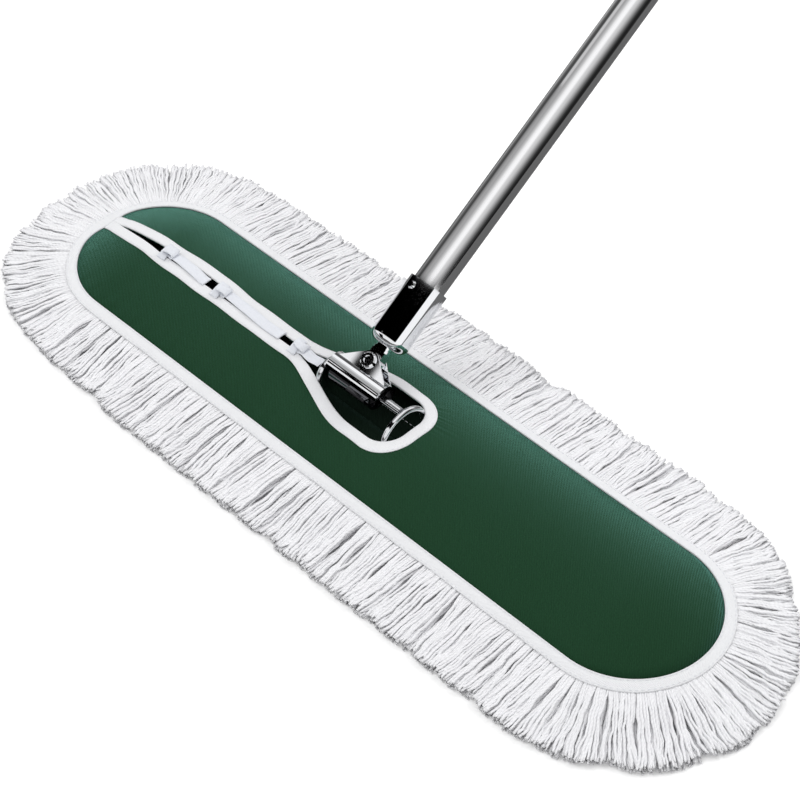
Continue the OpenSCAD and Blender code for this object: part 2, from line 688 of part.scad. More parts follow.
module handle_tube() color([0.82, 0.83, 0.85]) in_clip() difference() {
    translate([0, 0, tube_start]) cylinder(r = tube_radius, h = tube_length);
    translate([0, 0, tube_start - overrun]) cylinder(r = tube_inner, h = tube_length + 2 * overrun);
    screw_place() cylinder(r = screw_radius + seat_clearance, h = socket_radius + overrun);
}

module hand_grip() color([0.1, 0.1, 0.11]) in_clip() rotate_extrude() difference() {
    union() {
        translate([tube_radius + seat_clearance, grip_base])
            square([grip_wall - grip_round - seat_clearance, grip_length]);
        translate([tube_radius + seat_clearance, grip_base + grip_round])
            square([grip_wall - seat_clearance, grip_length - 2 * grip_round]);
        for (end = [grip_base + grip_round, grip_top - grip_round])
            translate([grip_radius - grip_round, end]) circle(r = grip_round);
    }
    for (i = [0 : grip_grooves - 1])
        translate([grip_radius, grip_base + grip_length * ((1 - groove_span_share) / 2
            + groove_span_share * i / (grip_grooves - 1))]) circle(r = groove_radius);
}

module hang_cap() color([0.1, 0.1, 0.11]) in_clip() difference() {
    union() {
        translate([0, 0, tube_end - cap_plug_depth_share * cap_radius])
            cylinder(r = cap_plug, h = cap_plug_depth_share * cap_radius);
        translate([0, 0, tube_end]) cylinder(r = cap_radius, h = cap_flange);
        along_x(-lug_thickness / 2, lug_thickness / 2) {
            translate([0, hang_height]) circle(r = lug_radius);
            translate([-lug_radius, tube_end]) square([2 * lug_radius, hang_height - tube_end]);
        }
    }
    translate([0, 0, hang_height]) rotate([0, 90, 0])
        cylinder(r = hang_radius, h = lug_thickness + 2 * overrun, center = true);
}

yarn_sole();
yarn_fringe();
base_panel();
pad_cover();
hem_tape();
slit_binding();
tie_left();
tie_middle();
tie_right();
frame_loop();
cross_wire_left();
cross_wire_right();
axle_rod();
clip_saddle();
rod_bearing();
swivel_rivet();
washer_front();
washer_back();
hinge_pin();
gate_spring();
clip_gate();
gate_pad();
swivel_yoke();
handle_socket();
socket_screw();
handle_tube();
hand_grip();
hang_cap();
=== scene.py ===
"""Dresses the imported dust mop: looped cotton yarn, green canvas, white tapes and chromed fittings.

Lengths inside the classes are millimetres in the frame shared with the solids; meshes are written in metres.
Only the studio and the flat sizes of the sheets are given in metres.
"""

import logging
import math
from collections.abc import Callable
from dataclasses import dataclass, field
from enum import Enum
from typing import Optional

import bpy
import numpy as np
from mathutils import Matrix, Vector


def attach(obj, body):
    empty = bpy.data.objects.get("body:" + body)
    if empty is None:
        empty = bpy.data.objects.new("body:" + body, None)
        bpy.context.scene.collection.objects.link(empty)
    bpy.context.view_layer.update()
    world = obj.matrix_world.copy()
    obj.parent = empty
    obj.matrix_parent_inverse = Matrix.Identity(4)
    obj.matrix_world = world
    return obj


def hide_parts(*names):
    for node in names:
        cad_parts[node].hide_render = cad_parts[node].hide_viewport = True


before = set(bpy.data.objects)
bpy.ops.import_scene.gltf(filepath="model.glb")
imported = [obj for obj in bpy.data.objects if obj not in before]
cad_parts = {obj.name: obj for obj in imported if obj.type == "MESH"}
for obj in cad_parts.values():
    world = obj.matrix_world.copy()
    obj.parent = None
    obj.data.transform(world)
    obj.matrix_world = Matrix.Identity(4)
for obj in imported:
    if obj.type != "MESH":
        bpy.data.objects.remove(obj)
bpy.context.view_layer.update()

LOG = logging.getLogger("dust_mop")
MM = 0.001
SEED = 20
TONE = "tone"

Triple = tuple[float, float, float]
Series = tuple[float, ...]
Array = np.ndarray
Piece = bpy.types.Object
Material = bpy.types.Material
Node = bpy.types.Node
Tree = bpy.types.NodeTree
Socket = bpy.types.NodeSocket


class Body(Enum):
    """Moving bodies of the mop."""

    HEAD = "mop_head"
    CLIP = "clip"
    GATE = "gate"
    HANDLE = "handle"


class Slot(Enum):
    """Material slots of the record."""

    YARN = "yarn"
    CANVAS = "canvas"
    TAPE = "tape"
    WIRE = "wire"
    CLIP = "clip_chrome"
    TUBE = "tube_chrome"
    SPRING = "spring_steel"
    NYLON = "nylon"
    GRIP = "grip_rubber"


def added(name: str, data: bpy.types.ID) -> Piece:
    """A new object in the scene.

    Args:
        name: object's name.
        data: what it shows.

    Returns:
        The object.
    """
    made = bpy.data.objects.new(name, data)
    bpy.context.scene.collection.objects.link(made)
    return made


@dataclass
class Surface:
    """A mesh in the making: points, four-cornered faces and one value pair per point for the texture map.

    A chart that closes on itself after one turn carries the turn's length, so that no face spans the join.
    """

    points: Array
    quads: Array
    chart: Array
    shade: Optional[Array] = None
    turn: float = 0.0

    @staticmethod
    def joined(parts: list["Surface"]) -> "Surface":
        """One surface out of several shells.

        Args:
            parts: closed shells that keep their own points.

        Returns:
            The shells in one set of arrays.
        """
        starts = np.cumsum([0] + [len(p.points) for p in parts[:-1]])
        shades = [np.ones(len(p.points)) if p.shade is None else p.shade for p in parts]
        return Surface(
            np.concatenate([p.points for p in parts]),
            np.concatenate([p.quads + start for p, start in zip(parts, starts)]),
            np.concatenate([p.chart for p in parts]),
            np.concatenate(shades),
            parts[0].turn,
        )

    def toned(self, level: float) -> "Surface":
        """The same surface with one tone all over."""
        self.shade = np.full(len(self.points), level)
        return self

    def corner_chart(self) -> Array:
        """Chart values of the faces' corners, moved on by a turn where a face crosses the join.

        Returns:
            Array of faces, corners and chart values.
        """
        corners = self.chart[self.quads]
        if self.turn:
            first = corners[..., 0]
            crossing = np.ptp(first, axis=1, keepdims=True) > self.turn / 2
            corners[..., 0] = np.where(crossing & (first < self.turn / 2), first + self.turn, first)
        return corners

    def one_side(self) -> float:
        """Area of one side of a thin closed sheet, in square metres."""
        a, b, c, d = (self.points[self.quads[:, k]] * MM for k in range(4))
        return float(np.linalg.norm(np.cross(c - a, d - b), axis=1).sum() / 2) / 2

    def build(self, name: str) -> Piece:
        """Writes the mesh and its object.

        Args:
            name: name of the piece.

        Returns:
            The linked object, smooth shaded.
        """
        mesh = bpy.data.meshes.new(name)
        count = len(self.quads)
        mesh.vertices.add(len(self.points))
        mesh.vertices.foreach_set("co", (self.points * MM).astype(np.float32).ravel())
        mesh.loops.add(count * 4)
        mesh.loops.foreach_set("vertex_index", self.quads.astype(np.int32).ravel())
        mesh.polygons.add(count)
        mesh.polygons.foreach_set("loop_start", np.arange(0, count * 4, 4, dtype=np.int32))
        mesh.polygons.foreach_set("use_smooth", np.ones(count, dtype=bool))
        layer = mesh.uv_layers.new(name="chart")
        layer.data.foreach_set("uv", self.corner_chart().astype(np.float32).ravel())
        if self.shade is not None:
            tone = mesh.attributes.new(TONE, "FLOAT", "POINT")
            tone.data.foreach_set("value", self.shade.astype(np.float32))
        mesh.update(calc_edges=True)
        mesh.validate()
        return added(name, mesh)


def ring_quads(rows: int, columns: int, close_rows: bool = True) -> Array:
    """Faces of a grid whose rows close on themselves.

    Args:
        rows: number of rows.
        columns: number of points in a row.
        close_rows: whether the last row meets the first.

    Returns:
        Point numbers, four to a face.
    """
    i = np.arange(rows if close_rows else rows - 1)[:, None]
    j = np.arange(columns)[None, :]
    here, ahead = i * columns, (i + 1) % rows * columns
    beside = (j + 1) % columns
    return np.stack([here + j, ahead + j, ahead + beside, here + beside], axis=-1).reshape(-1, 4)


def capped_quads(rings: int, sides: int) -> Array:
    """Outward faces of a tube with both ends closed.

    Args:
        rings: number of rings.
        sides: even number of points in a ring.

    Returns:
        Point numbers, four to a face.
    """
    wall = ring_quads(rings, sides, close_rows=False)[:, ::-1]
    first = np.arange(sides // 2 - 1)
    cap = np.stack([first, first + 1, sides - 2 - first, sides - 1 - first], axis=-1)
    return np.concatenate([wall, cap, (cap + (rings - 1) * sides)[:, ::-1]])


def unit(vectors: Array) -> Array:
    """Vectors scaled to length one along the last axis."""
    return vectors / np.maximum(np.linalg.norm(vectors, axis=-1, keepdims=True), 1e-9)


def run_along(points: Array) -> Array:
    """Distance of each point from the first along its line, with the points on the last axis but one."""
    steps = np.linalg.norm(np.diff(points, axis=-2), axis=-1)
    return np.concatenate([np.zeros((*steps.shape[:-1], 1)), np.cumsum(steps, axis=-1)], axis=-1)


def raised(plan: Array, height: Array) -> Array:
    """Points of a plan with their heights as the third coordinate."""
    return np.concatenate([plan, np.broadcast_to(height, plan.shape[:-1])[..., None]], axis=-1)


def softened(loop: Array) -> Array:
    """A closed row of points, each moved half way to the mean of its two neighbours."""
    return (np.roll(loop, 1, axis=0) + 2 * loop + np.roll(loop, -1, axis=0)) / 4


def moved(points: Array, distance: Array, direction: Array) -> Array:
    """Rows of points: each point moved along its own direction by every distance of its row."""
    return points[:, None, :] + distance[..., None] * direction[:, None, :]


def loft(sections: Array, way: Optional[Array] = None) -> Surface:
    """A closed band: closed sections carried round a closed way.

    Args:
        sections: array of ways, section points and coordinates.
        way: distance of each section along the way; without it the chart is the plan.

    Returns:
        The surface with outward faces, its chart running along and across the band in millimetres.
    """
    ways, size = sections.shape[:2]
    quads = ring_quads(ways, size)[:, ::-1]
    points = sections.reshape(-1, 3)
    if way is None:
        return Surface(points, quads, points[:, :2])
    along = np.broadcast_to(way[:, None], (ways, size))
    chart = np.stack([along, run_along(sections)], axis=-1).reshape(-1, 2)
    return Surface(points, quads, chart, turn=float(way[-1] + way[1] - way[0]))


def tubes(
    paths: Array,
    radii: Array,
    sides: int,
    flat: float = 1.0,
    turn: Optional[Array] = None,
) -> Surface:
    """Closed tubes along many paths at once.

    A point of a tube is its path's point plus the radius times the cosine of the side's angle along the
    level sideways direction, plus the radius times the sine along the upright direction.

    Args:
        paths: array of tubes, rings and coordinates.
        radii: radius of each ring, shaped tubes by rings.
        sides: even number of sides.
        flat: upright thickness as a share of the width.
        turn: turn of each ring about its path, in radians.

    Returns:
        The tubes with closed ends; the chart runs round and along each tube.
    """
    count, rings = paths.shape[:2]
    ahead = unit(np.gradient(paths, axis=1))
    level = unit(np.cross(ahead, np.broadcast_to(np.array([0.0, 0.0, 1.0]), ahead.shape)))
    upright = np.cross(level, ahead)
    angle = np.arange(sides) * (2 * np.pi / sides)
    angle = angle[None, None, :] + (0.0 if turn is None else turn[:, :, None])
    wide = radii[:, :, None, None] * np.cos(angle)[..., None] * level[:, :, None, :]
    high = flat * radii[:, :, None, None] * np.sin(angle)[..., None] * upright[:, :, None, :]
    points = paths[:, :, None, :] + wide + high
    starts = np.arange(count) * rings * sides
    quads = (capped_quads(rings, sides)[None] + starts[:, None, None]).reshape(-1, 4)
    shares = np.broadcast_to(np.arange(sides) / sides, (count, rings, sides))
    along = np.broadcast_to(run_along(paths)[:, :, None], shares.shape)
    chart = np.stack([shares, along], axis=-1)
    return Surface(points.reshape(-1, 3), quads, chart.reshape(-1, 2), turn=1.0)


@dataclass(frozen=True)
class Waves:
    """Smooth wander between -1 and 1: the mean of sine waves of the given lengths and phases."""

    lengths: Series
    phases: Series

    def at(self, x: Array) -> Array:
        """The wander at distances along a line."""
        pairs = zip(self.lengths, self.phases)
        return np.mean([np.sin(2 * np.pi * x / length + phase) for length, phase in pairs], axis=0)


@dataclass(frozen=True)
class Profile:
    """Values at some places, with straight lines between them."""

    places: Series
    values: Series

    def at(self, x: Array) -> Array:
        """The values at other places."""
        return np.interp(x, self.places, self.values)


@dataclass(frozen=True)
class Stadium:
    """The pad's plan, two straight sides and two half circles, and its crowned height."""

    straight: float = 237.5
    half: float = 62.5
    edge: float = 16.0
    crown: float = 15.0
    past: float = 20.0
    flat: tuple[float, float] = (0.125, 0.6)

    def height(self, points: Array) -> Array:
        """Height of the crowned top: a circle's arc over the distance from the pad's middle line.

        Args:
            points: points in plan.

        Returns:
            Height of each; a little past the edge the arc falls no further.
        """
        radius = (self.half**2 + self.crown**2) / (2 * self.crown)
        reach = np.hypot(np.maximum(np.abs(points[..., 0]) - self.straight, 0), points[..., 1])
        fall = np.sqrt(radius**2 - np.minimum(reach, self.half + self.past) ** 2)
        return self.edge + self.crown - radius + fall

    def perimeter(self, radius: float) -> float:
        """Length of the outline at a distance from the middle line."""
        return 4 * self.straight + 2 * np.pi * radius

    def place(self, share: Array, radius: float) -> tuple[Array, Array]:
        """Points of the middle line and outward directions at shares of the outline's length.

        Args:
            share: position round the outline from 0 to 1, from the left end along the front.
            radius: distance from the middle line at which the length is counted.

        Returns:
            The middle line's points and the outward directions, both in plan.
        """
        quarter = np.pi / 2 * radius
        side = 2 * self.straight
        way = (share % 1.0) * self.perimeter(radius)
        marks = np.cumsum([0, quarter, side, 2 * quarter, side, quarter])
        angle = np.interp(way, marks, np.radians([180, 270, 270, 450, 450, 540]))
        middle = np.interp(way, marks, self.straight * np.array([-1, -1, 1, 1, -1, -1]))
        outward = np.stack([np.cos(angle), np.sin(angle)], axis=-1)
        return np.stack([middle, np.zeros_like(middle)], axis=-1), outward

    def ring(self, ways: int, at: float, reach: Array) -> Array:
        """Points in plan on lines that run outward all round the pad.

        Args:
            ways: number of lines, evenly shared out.
            at: distance from the middle line at which the outline's length is counted.
            reach: distances from the middle line, the same on every line or one row for each.

        Returns:
            Array of lines, points and the two coordinates.
        """
        middle, outward = self.place(np.arange(ways) / ways, at)
        return moved(middle, np.atleast_2d(reach), outward)


@dataclass(frozen=True)
class Keyhole:
    """The pocket's opening: a slit from the left end that widens into a round bowl over the clip."""

    tip_x: float = -299.0
    open_x: float = -285.0
    tip_half: float = 0.3
    neck_x: float = -88.0
    neck_half: float = 3.4
    neck_end: float = -4.0
    bowl_x: float = 13.0
    bowl_radius: float = 19.5
    bowl_flat: float = 6.2
    slit_full: float = -235.0
    tip_shift: float = 3.5
    tip_fade: float = 14.0
    ripple: float = 0.5
    ripple_lengths: Series = (61.0, 38.0)
    slack: float = 2.8
    slack_x: float = -186.0
    slack_reach: float = 38.0
    smoothing: int = 6
    facing: Series = (0.0, 0.184, 0.285, 0.5)

    def half_outline(self, side: float, count: int) -> Array:
        """Edge of the opening from the slit's tip to the bowl's right end, on one side.

        The slit is a straight line, slack at the back, the neck a smooth step from the slit's half width to
        the bowl's, and the bowl an arc.

        Args:
            side: -1 for the front edge, 1 for the back edge.
            count: points in each of the three stretches.

        Returns:
            Points in plan.
        """
        t = np.linspace(0, 1, count, endpoint=False)
        slit_x = self.tip_x + (self.neck_x - self.tip_x) * t
        spread = np.sqrt(np.clip((slit_x - self.open_x) / (self.slit_full - self.open_x), 0, 1))
        wave = Waves(self.ripple_lengths, (0.4, 2.0 + side)).at(slit_x)
        bulge = np.exp(-(((slit_x - self.slack_x) / self.slack_reach) ** 2))
        slit_y = self.tip_half + (self.neck_half - self.tip_half) * spread
        slit_y = slit_y + self.ripple * wave * spread * (1 - t) + max(side, 0) * self.slack * bulge
        neck_x = self.neck_x + (self.bowl_x - self.neck_x) * t
        climb = np.clip((neck_x - self.neck_x) / (self.neck_end - self.neck_x), 0, 1)
        ease = climb * climb * (3 - 2 * climb)
        neck_y = self.neck_half + (self.bowl_flat + self.bowl_radius - self.neck_half) * ease
        angle = np.pi / 2 * (1 - t)
        bowl_x = self.bowl_x + self.bowl_radius * np.cos(angle)
        bowl_y = self.bowl_flat + self.bowl_radius * np.sin(angle)
        x = np.concatenate([slit_x, neck_x, bowl_x])
        y = np.concatenate([slit_y, neck_y, bowl_y])
        shift = self.tip_shift * np.exp((self.tip_x - x) / self.tip_fade)
        return np.stack([x, side * y + shift], axis=-1)

    def outline(self, count: int) -> Array:
        """The closed edge, along the front to the bowl's end and back along the back edge.

        Args:
            count: points in each of the three stretches of either edge.

        Returns:
            Points in plan.
        """
        edge = np.concatenate([self.half_outline(-1.0, count), self.half_outline(1.0, count)[::-1]])
        for _ in range(self.smoothing):
            edge = softened(edge)
        return edge

    def outer_ways(self, count: int) -> Array:
        """Shares of the pad's outline that face the opening's points, stretch by stretch.

        Args:
            count: points in each stretch.

        Returns:
            A share for each point of the opening's outline.
        """
        t = np.linspace(0, 1, count, endpoint=False)
        pairs = zip(self.facing[:-1], self.facing[1:])
        front = np.concatenate([low + (high - low) * t for low, high in pairs])
        return np.concatenate([front, 1 - front[::-1]])


PAD = Stadium()
KEYHOLE = Keyhole()


def wire(tree: Tree, source: Socket, target: Socket) -> None:
    """Links two sockets of one tree."""
    tree.links.new(source, target)


def maths(tree: Tree, kind: str, *given: Socket | float) -> Socket:
    """A calculation node fed by sockets or plain numbers.

    Args:
        tree: tree that gets the node.
        kind: operation's name.
        given: sockets or numbers, in the order of the node's inputs.

    Returns:
        The result's socket.
    """
    made = tree.nodes.new("ShaderNodeMath")
    made.operation = kind
    for slot, value in zip(made.inputs, given):
        if isinstance(value, Socket):
            wire(tree, value, slot)
        else:
            slot.default_value = float(value)
    return made.outputs[0]


def noise(tree: Tree, scale: float, detail: float, place: Optional[Socket] = None) -> Socket:
    """Soft noise from 0 to 1.

    Args:
        tree: tree that gets the node.
        scale: how fine it is.
        detail: how many finer layers it has.
        place: coordinates to read it at, the object's own if none are given.

    Returns:
        The noise's socket.
    """
    if place is None:
        place = tree.nodes.new("ShaderNodeTexCoord").outputs["Object"]
    made = tree.nodes.new("ShaderNodeTexNoise")
    made.inputs["Scale"].default_value = scale
    made.inputs["Detail"].default_value = detail
    wire(tree, place, made.inputs["Vector"])
    return made.outputs["Fac"]


def tone_of(tree: Tree) -> Socket:
    """The tone that a new piece carries at its points: painted shade with a random tone on the yarn, the
    screen's light on the tent.

    Args:
        tree: tree that gets the node.

    Returns:
        The tone's socket.
    """
    made = tree.nodes.new("ShaderNodeAttribute")
    made.attribute_name = TONE
    return made.outputs["Fac"]


def ramp(tree: Tree, factor: Socket, low: Triple, high: Triple) -> Socket:
    """Colour between two.

    Args:
        tree: tree that gets the node.
        factor: share of the second colour, from 0 to 1.
        low: first colour.
        high: second colour.

    Returns:
        The colour's socket.
    """
    mixer = tree.nodes.new("ShaderNodeMix")
    mixer.data_type = "RGBA"
    mixer.inputs["A"].default_value = (*low, 1.0)
    mixer.inputs["B"].default_value = (*high, 1.0)
    wire(tree, factor, mixer.inputs["Factor"])
    return mixer.outputs["Result"]


def bump(tree: Tree, shader: Node, height: Socket, depth: float) -> None:
    """Feeds a height into the shader's normal.

    Args:
        tree: the material's tree.
        shader: shader node.
        height: height socket.
        depth: distance of the height, in metres.
    """
    made = tree.nodes.new("ShaderNodeBump")
    made.inputs["Strength"].default_value = 0.9
    made.inputs["Distance"].default_value = depth
    wire(tree, height, made.inputs["Height"])
    wire(tree, made.outputs[0], shader.inputs["Normal"])


def blank(name: str, values: dict) -> tuple[Material, Tree, Node]:
    """A new material with only its shader and output.

    Args:
        name: material's name.
        values: plain values of the shader's inputs.

    Returns:
        The material, its tree and its shader.
    """
    made = bpy.data.materials.new(name)
    made.use_nodes = True
    shader = made.node_tree.nodes["Principled BSDF"]
    for label, value in values.items():
        shader.inputs[label].default_value = value
    return made, made.node_tree, shader


def chart_group(name: str, size: str) -> tuple[Tree, Socket, Socket]:
    """A new node group that makes a height and a shade out of a chart and one size.

    Args:
        name: name of the group.
        size: name of the size's socket.

    Returns:
        The group and the sockets of the chart and the size inside it.
    """
    group = bpy.data.node_groups.new(name, "ShaderNodeTree")
    group.interface.new_socket(name="Chart", in_out="INPUT", socket_type="NodeSocketVector")
    group.interface.new_socket(name=size, in_out="INPUT", socket_type="NodeSocketFloat")
    for label in ("Height", "Shade"):
        group.interface.new_socket(name=label, in_out="OUTPUT", socket_type="NodeSocketFloat")
    source = group.nodes.new("NodeGroupInput")
    return group, source.outputs["Chart"], source.outputs[size]


def put_out(group: Tree, height: Socket, shade: Socket) -> Tree:
    """Ends a chart group with its two results.

    Args:
        group: the group.
        height: height socket.
        shade: shade socket.

    Returns:
        The group.
    """
    end = group.nodes.new("NodeGroupOutput")
    wire(group, height, end.inputs["Height"])
    wire(group, shade, end.inputs["Shade"])
    return group


def weave_group(name: str) -> Tree:
    """Twill weave from a chart in millimetres.

    The height is the sine of the distance along the slant, in threads, plus a smaller sine across the slant;
    the shade is a noise plus a little of the first sine.

    Args:
        name: name of the group.

    Returns:
        The group.
    """
    group, chart, thread = chart_group(name, "Thread")
    apart = group.nodes.new("ShaderNodeSeparateXYZ")
    wire(group, chart, apart.inputs[0])
    u, v = (maths(group, "DIVIDE", apart.outputs[k], thread) for k in range(2))
    rib = maths(group, "SINE", maths(group, "MULTIPLY", maths(group, "ADD", u, v), math.pi))
    cross = maths(group, "SINE", maths(group, "MULTIPLY", maths(group, "SUBTRACT", u, v), 2 * math.pi))
    height = maths(group, "ADD", rib, maths(group, "MULTIPLY", cross, 0.4))
    shade = maths(group, "ADD", maths(group, "MULTIPLY", rib, 0.1), noise(group, 0.9, 3.0, chart))
    return put_out(group, height, shade)


def twist_group(name: str) -> Tree:
    """Three twisted plies from a chart of share round and millimetres along.

    The shade is the size of the sine of the turn, three times the share round plus the pitches along; the
    height adds a noise to it.

    Args:
        name: name of the group.

    Returns:
        The group.
    """
    group, chart, pitch = chart_group(name, "Pitch")
    apart = group.nodes.new("ShaderNodeSeparateXYZ")
    wire(group, chart, apart.inputs[0])
    along = maths(group, "DIVIDE", apart.outputs[1], pitch)
    turn = maths(group, "ADD", maths(group, "MULTIPLY", apart.outputs[0], 3.0), along)
    ply = maths(group, "ABSOLUTE", maths(group, "SINE", maths(group, "MULTIPLY", turn, math.pi)))
    fuzz = maths(group, "MULTIPLY", noise(group, 2.2, 4.0, chart), 0.5)
    return put_out(group, maths(group, "ADD", ply, fuzz), ply)


def use_group(tree: Tree, name: str, build: Callable[[str], Tree], size: float) -> Node:
    """Adds a chart-driven group to a material.

    Args:
        tree: the material's tree.
        name: name of the group.
        build: what builds the group when it is first used.
        size: value of the group's second input.

    Returns:
        The group's node.
    """
    chart = tree.nodes.new("ShaderNodeUVMap")
    chart.uv_map = "chart"
    made = tree.nodes.new("ShaderNodeGroup")
    made.node_tree = bpy.data.node_groups.get(name) or build(name)
    wire(tree, chart.outputs[0], made.inputs["Chart"])
    made.inputs[1].default_value = size
    return made


@dataclass(frozen=True)
class Finish:
    """Base of every finish: builds one material from its own values."""

    name: str

    def material(self) -> Material:
        """Builds the material; each kind of finish has its own way."""
        raise NotImplementedError

    def coat(self, piece: Piece, slot: Slot) -> None:
        """Gives an object this finish, built once.

        Args:
            piece: object to finish.
            slot: material slot of the record; not used.
        """
        piece.data.materials.clear()
        piece.data.materials.append(bpy.data.materials.get(self.name) or self.material())


@dataclass(frozen=True)
class Cloth(Finish):
    """Woven cloth with a twill bump and a soft sheen."""

    dark: Triple
    light: Triple
    thread: float
    depth: float
    sheen: float
    sheen_tint: Triple = (1.0, 1.0, 1.0)

    def material(self) -> Material:
        """Builds the cloth's material.

        Returns:
            The material.
        """
        values = {
            "Roughness": 0.8,
            "Sheen Weight": self.sheen,
            "Sheen Roughness": 0.32,
            "Sheen Tint": (*self.sheen_tint, 1.0),
            "Specular IOR Level": 0.1,
        }
        made, tree, shader = blank(self.name, values)
        weave = use_group(tree, "twill_weave", weave_group, self.thread)
        wire(tree, ramp(tree, weave.outputs["Shade"], self.dark, self.light), shader.inputs["Base Color"])
        bump(tree, shader, weave.outputs["Height"], self.depth)
        return made


@dataclass(frozen=True)
class Yarn(Finish):
    """Twisted cotton yarn with painted shade: darker where the strands lie low in the pile and in the grooves
    between the plies.
    """

    # Colour of the yarn in full painted shade.
    shade_colour: Triple
    bright: Triple
    pitch: float = 3.1
    relief: float = 0.00012
    groove_shade: float = 0.07

    def material(self) -> Material:
        """Builds the yarn's material.

        Returns:
            The material.
        """
        values = {
            "Roughness": 0.9,
            "Sheen Weight": 0.6,
            "Sheen Roughness": 0.6,
            "Specular IOR Level": 0.2,
        }
        made, tree, shader = blank(self.name, values)
        twist = use_group(tree, "yarn_twist", twist_group, self.pitch)
        # Painted shade: the grooves between the plies and a low tone darken the colour towards the shade
        # colour.
        plies = maths(tree, "MULTIPLY_ADD", twist.outputs["Shade"], self.groove_shade, 1 - self.groove_shade)
        factor = maths(tree, "MULTIPLY", tone_of(tree), plies)
        wire(tree, ramp(tree, factor, self.shade_colour, self.bright), shader.inputs["Base Color"])
        bump(tree, shader, twist.outputs["Height"], self.relief)
        return made


@dataclass(frozen=True)
class Metal(Finish):
    """Bright metal whose gloss wanders a little over the surface."""

    tint: Triple
    roughness: float
    spread: float
    grain: float = 60.0
    dulled: float = 0.94

    def material(self) -> Material:
        """Builds the metal's material.

        Returns:
            The material.
        """
        made, tree, shader = blank(self.name, {"Metallic": 1.0})
        patches = noise(tree, self.grain, 3.0)
        rough = maths(tree, "MULTIPLY_ADD", patches, self.spread, self.roughness)
        wire(tree, rough, shader.inputs["Roughness"])
        dull = tuple(self.dulled * part for part in self.tint)
        wire(tree, ramp(tree, patches, dull, self.tint), shader.inputs["Base Color"])
        return made


@dataclass(frozen=True)
class Moulded(Finish):
    """Moulded plastic or rubber with a fine grain."""

    dark: Triple
    light: Triple
    roughness: float
    grain: float
    depth: float

    def material(self) -> Material:
        """Builds the moulding's material.

        Returns:
            The material.
        """
        made, tree, shader = blank(self.name, {"Roughness": self.roughness})
        grains = noise(tree, self.grain, 2.0)
        wire(tree, ramp(tree, grains, self.dark, self.light), shader.inputs["Base Color"])
        bump(tree, shader, grains, self.depth)
        return made


GREEN = Cloth(
    "green_canvas", (0.0055, 0.0275, 0.0106), (0.013, 0.0575, 0.0226), 0.8, 0.00012, 1.0, (0.32, 0.82, 0.7)
)
# The pocket's lining is the same green canvas, painted near black for the shade inside the pocket.
POCKET_PAINTED_SHADE = Cloth(
    "pocket_canvas_painted_shade", (0.003, 0.008, 0.005), (0.008, 0.02, 0.012), 0.9, 0.00012, 0.1, (0.2, 0.4, 0.35)
)
WHITE_TAPE = Cloth("white_tape", (0.75, 0.755, 0.775), (0.85, 0.855, 0.87), 0.7, 0.0001, 0.2)
TIE_TAPE = Cloth("tie_tape", (0.72, 0.745, 0.805), (0.845, 0.862, 0.905), 0.6, 0.0001, 0.2)
# Cotton yarn: its first colour is the painted shade colour, reached where the tone is low.
COTTON = Yarn("cotton_yarn_painted_shade", (0.08, 0.08, 0.09), (0.84, 0.84, 0.862))
THREAD = Yarn("sewing_thread", (0.5, 0.51, 0.54), (0.72, 0.73, 0.77), 0.8, 0.00005)
CHROME = Metal("polished_chrome", (0.8, 0.81, 0.83), 0.025, 0.02)
TUBE_CHROME = Metal("handle_chrome", (0.74, 0.74, 0.75), 0.05, 0.025, 25.0)
WIRE_CHROME = Metal("wire_chrome", (0.75, 0.76, 0.78), 0.08, 0.08)
DARK_CHROME = Metal("dark_chrome", (0.13, 0.13, 0.14), 0.06, 0.05)
SPRING_STEEL = Metal("dull_steel", (0.5, 0.49, 0.47), 0.25, 0.12)
NYLON = Moulded("black_nylon", (0.012, 0.012, 0.014), (0.03, 0.03, 0.033), 0.45, 900.0, 0.00004)
RUBBER = Moulded("soft_rubber", (0.01, 0.01, 0.011), (0.024, 0.024, 0.026), 0.6, 1400.0, 0.00008)


def settle(shape: Surface, name: str, slot: Slot, finish: Finish, *nodes: str) -> Piece:
    """Builds a new piece on the mop head.

    Args:
        shape: the piece's surface.
        name: the piece's name.
        slot: material slot of the record.
        finish: its finish.
        nodes: solids that it stands for.

    Returns:
        The piece.
    """
    piece = shape.build(name)
    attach(piece, Body.HEAD.value)
    finish.coat(piece, slot)
    if nodes:
        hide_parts(*nodes)
    LOG.info("%s: %d faces on %s", name, len(piece.data.polygons), Body.HEAD.value)
    return piece


@dataclass
class Stitches:
    """Short sewing stitches along lines."""

    length: float = 2.6
    gap: float = 1.5
    radius: float = 0.27
    sides: int = 6
    flat: float = 0.8
    arch: float = 1.2
    sunk: float = 0.3
    taper: Series = (0.55, 1.0, 1.0, 0.55)

    def row(self, line: Array) -> Surface:
        """Stitches laid end to end along a polyline of surface points.

        Each stitch is a low arch: its height over the cloth is a half sine over its length.

        Args:
            line: points of the line.

        Returns:
            The stitches' surface.
        """
        way = run_along(line)
        starts = np.arange(0, way[-1] - self.length, self.length + self.gap)
        t = np.linspace(0, 1, len(self.taper))
        at = starts[:, None] + self.length * t[None, :]
        paths = np.stack([np.interp(at, way, line[:, k]) for k in range(3)], axis=-1)
        paths[..., 2] += self.radius * (self.arch * np.sin(np.pi * t)[None, :] - self.sunk)
        radii = np.broadcast_to(self.radius * np.array(self.taper), paths.shape[:2])
        return tubes(paths, radii, self.sides, self.flat)

    def dress(self, name: str, *lines: Array) -> Piece:
        """Sews all the lines as one piece."""
        return settle(Surface.joined([self.row(line) for line in lines]), name, Slot.TAPE, THREAD)


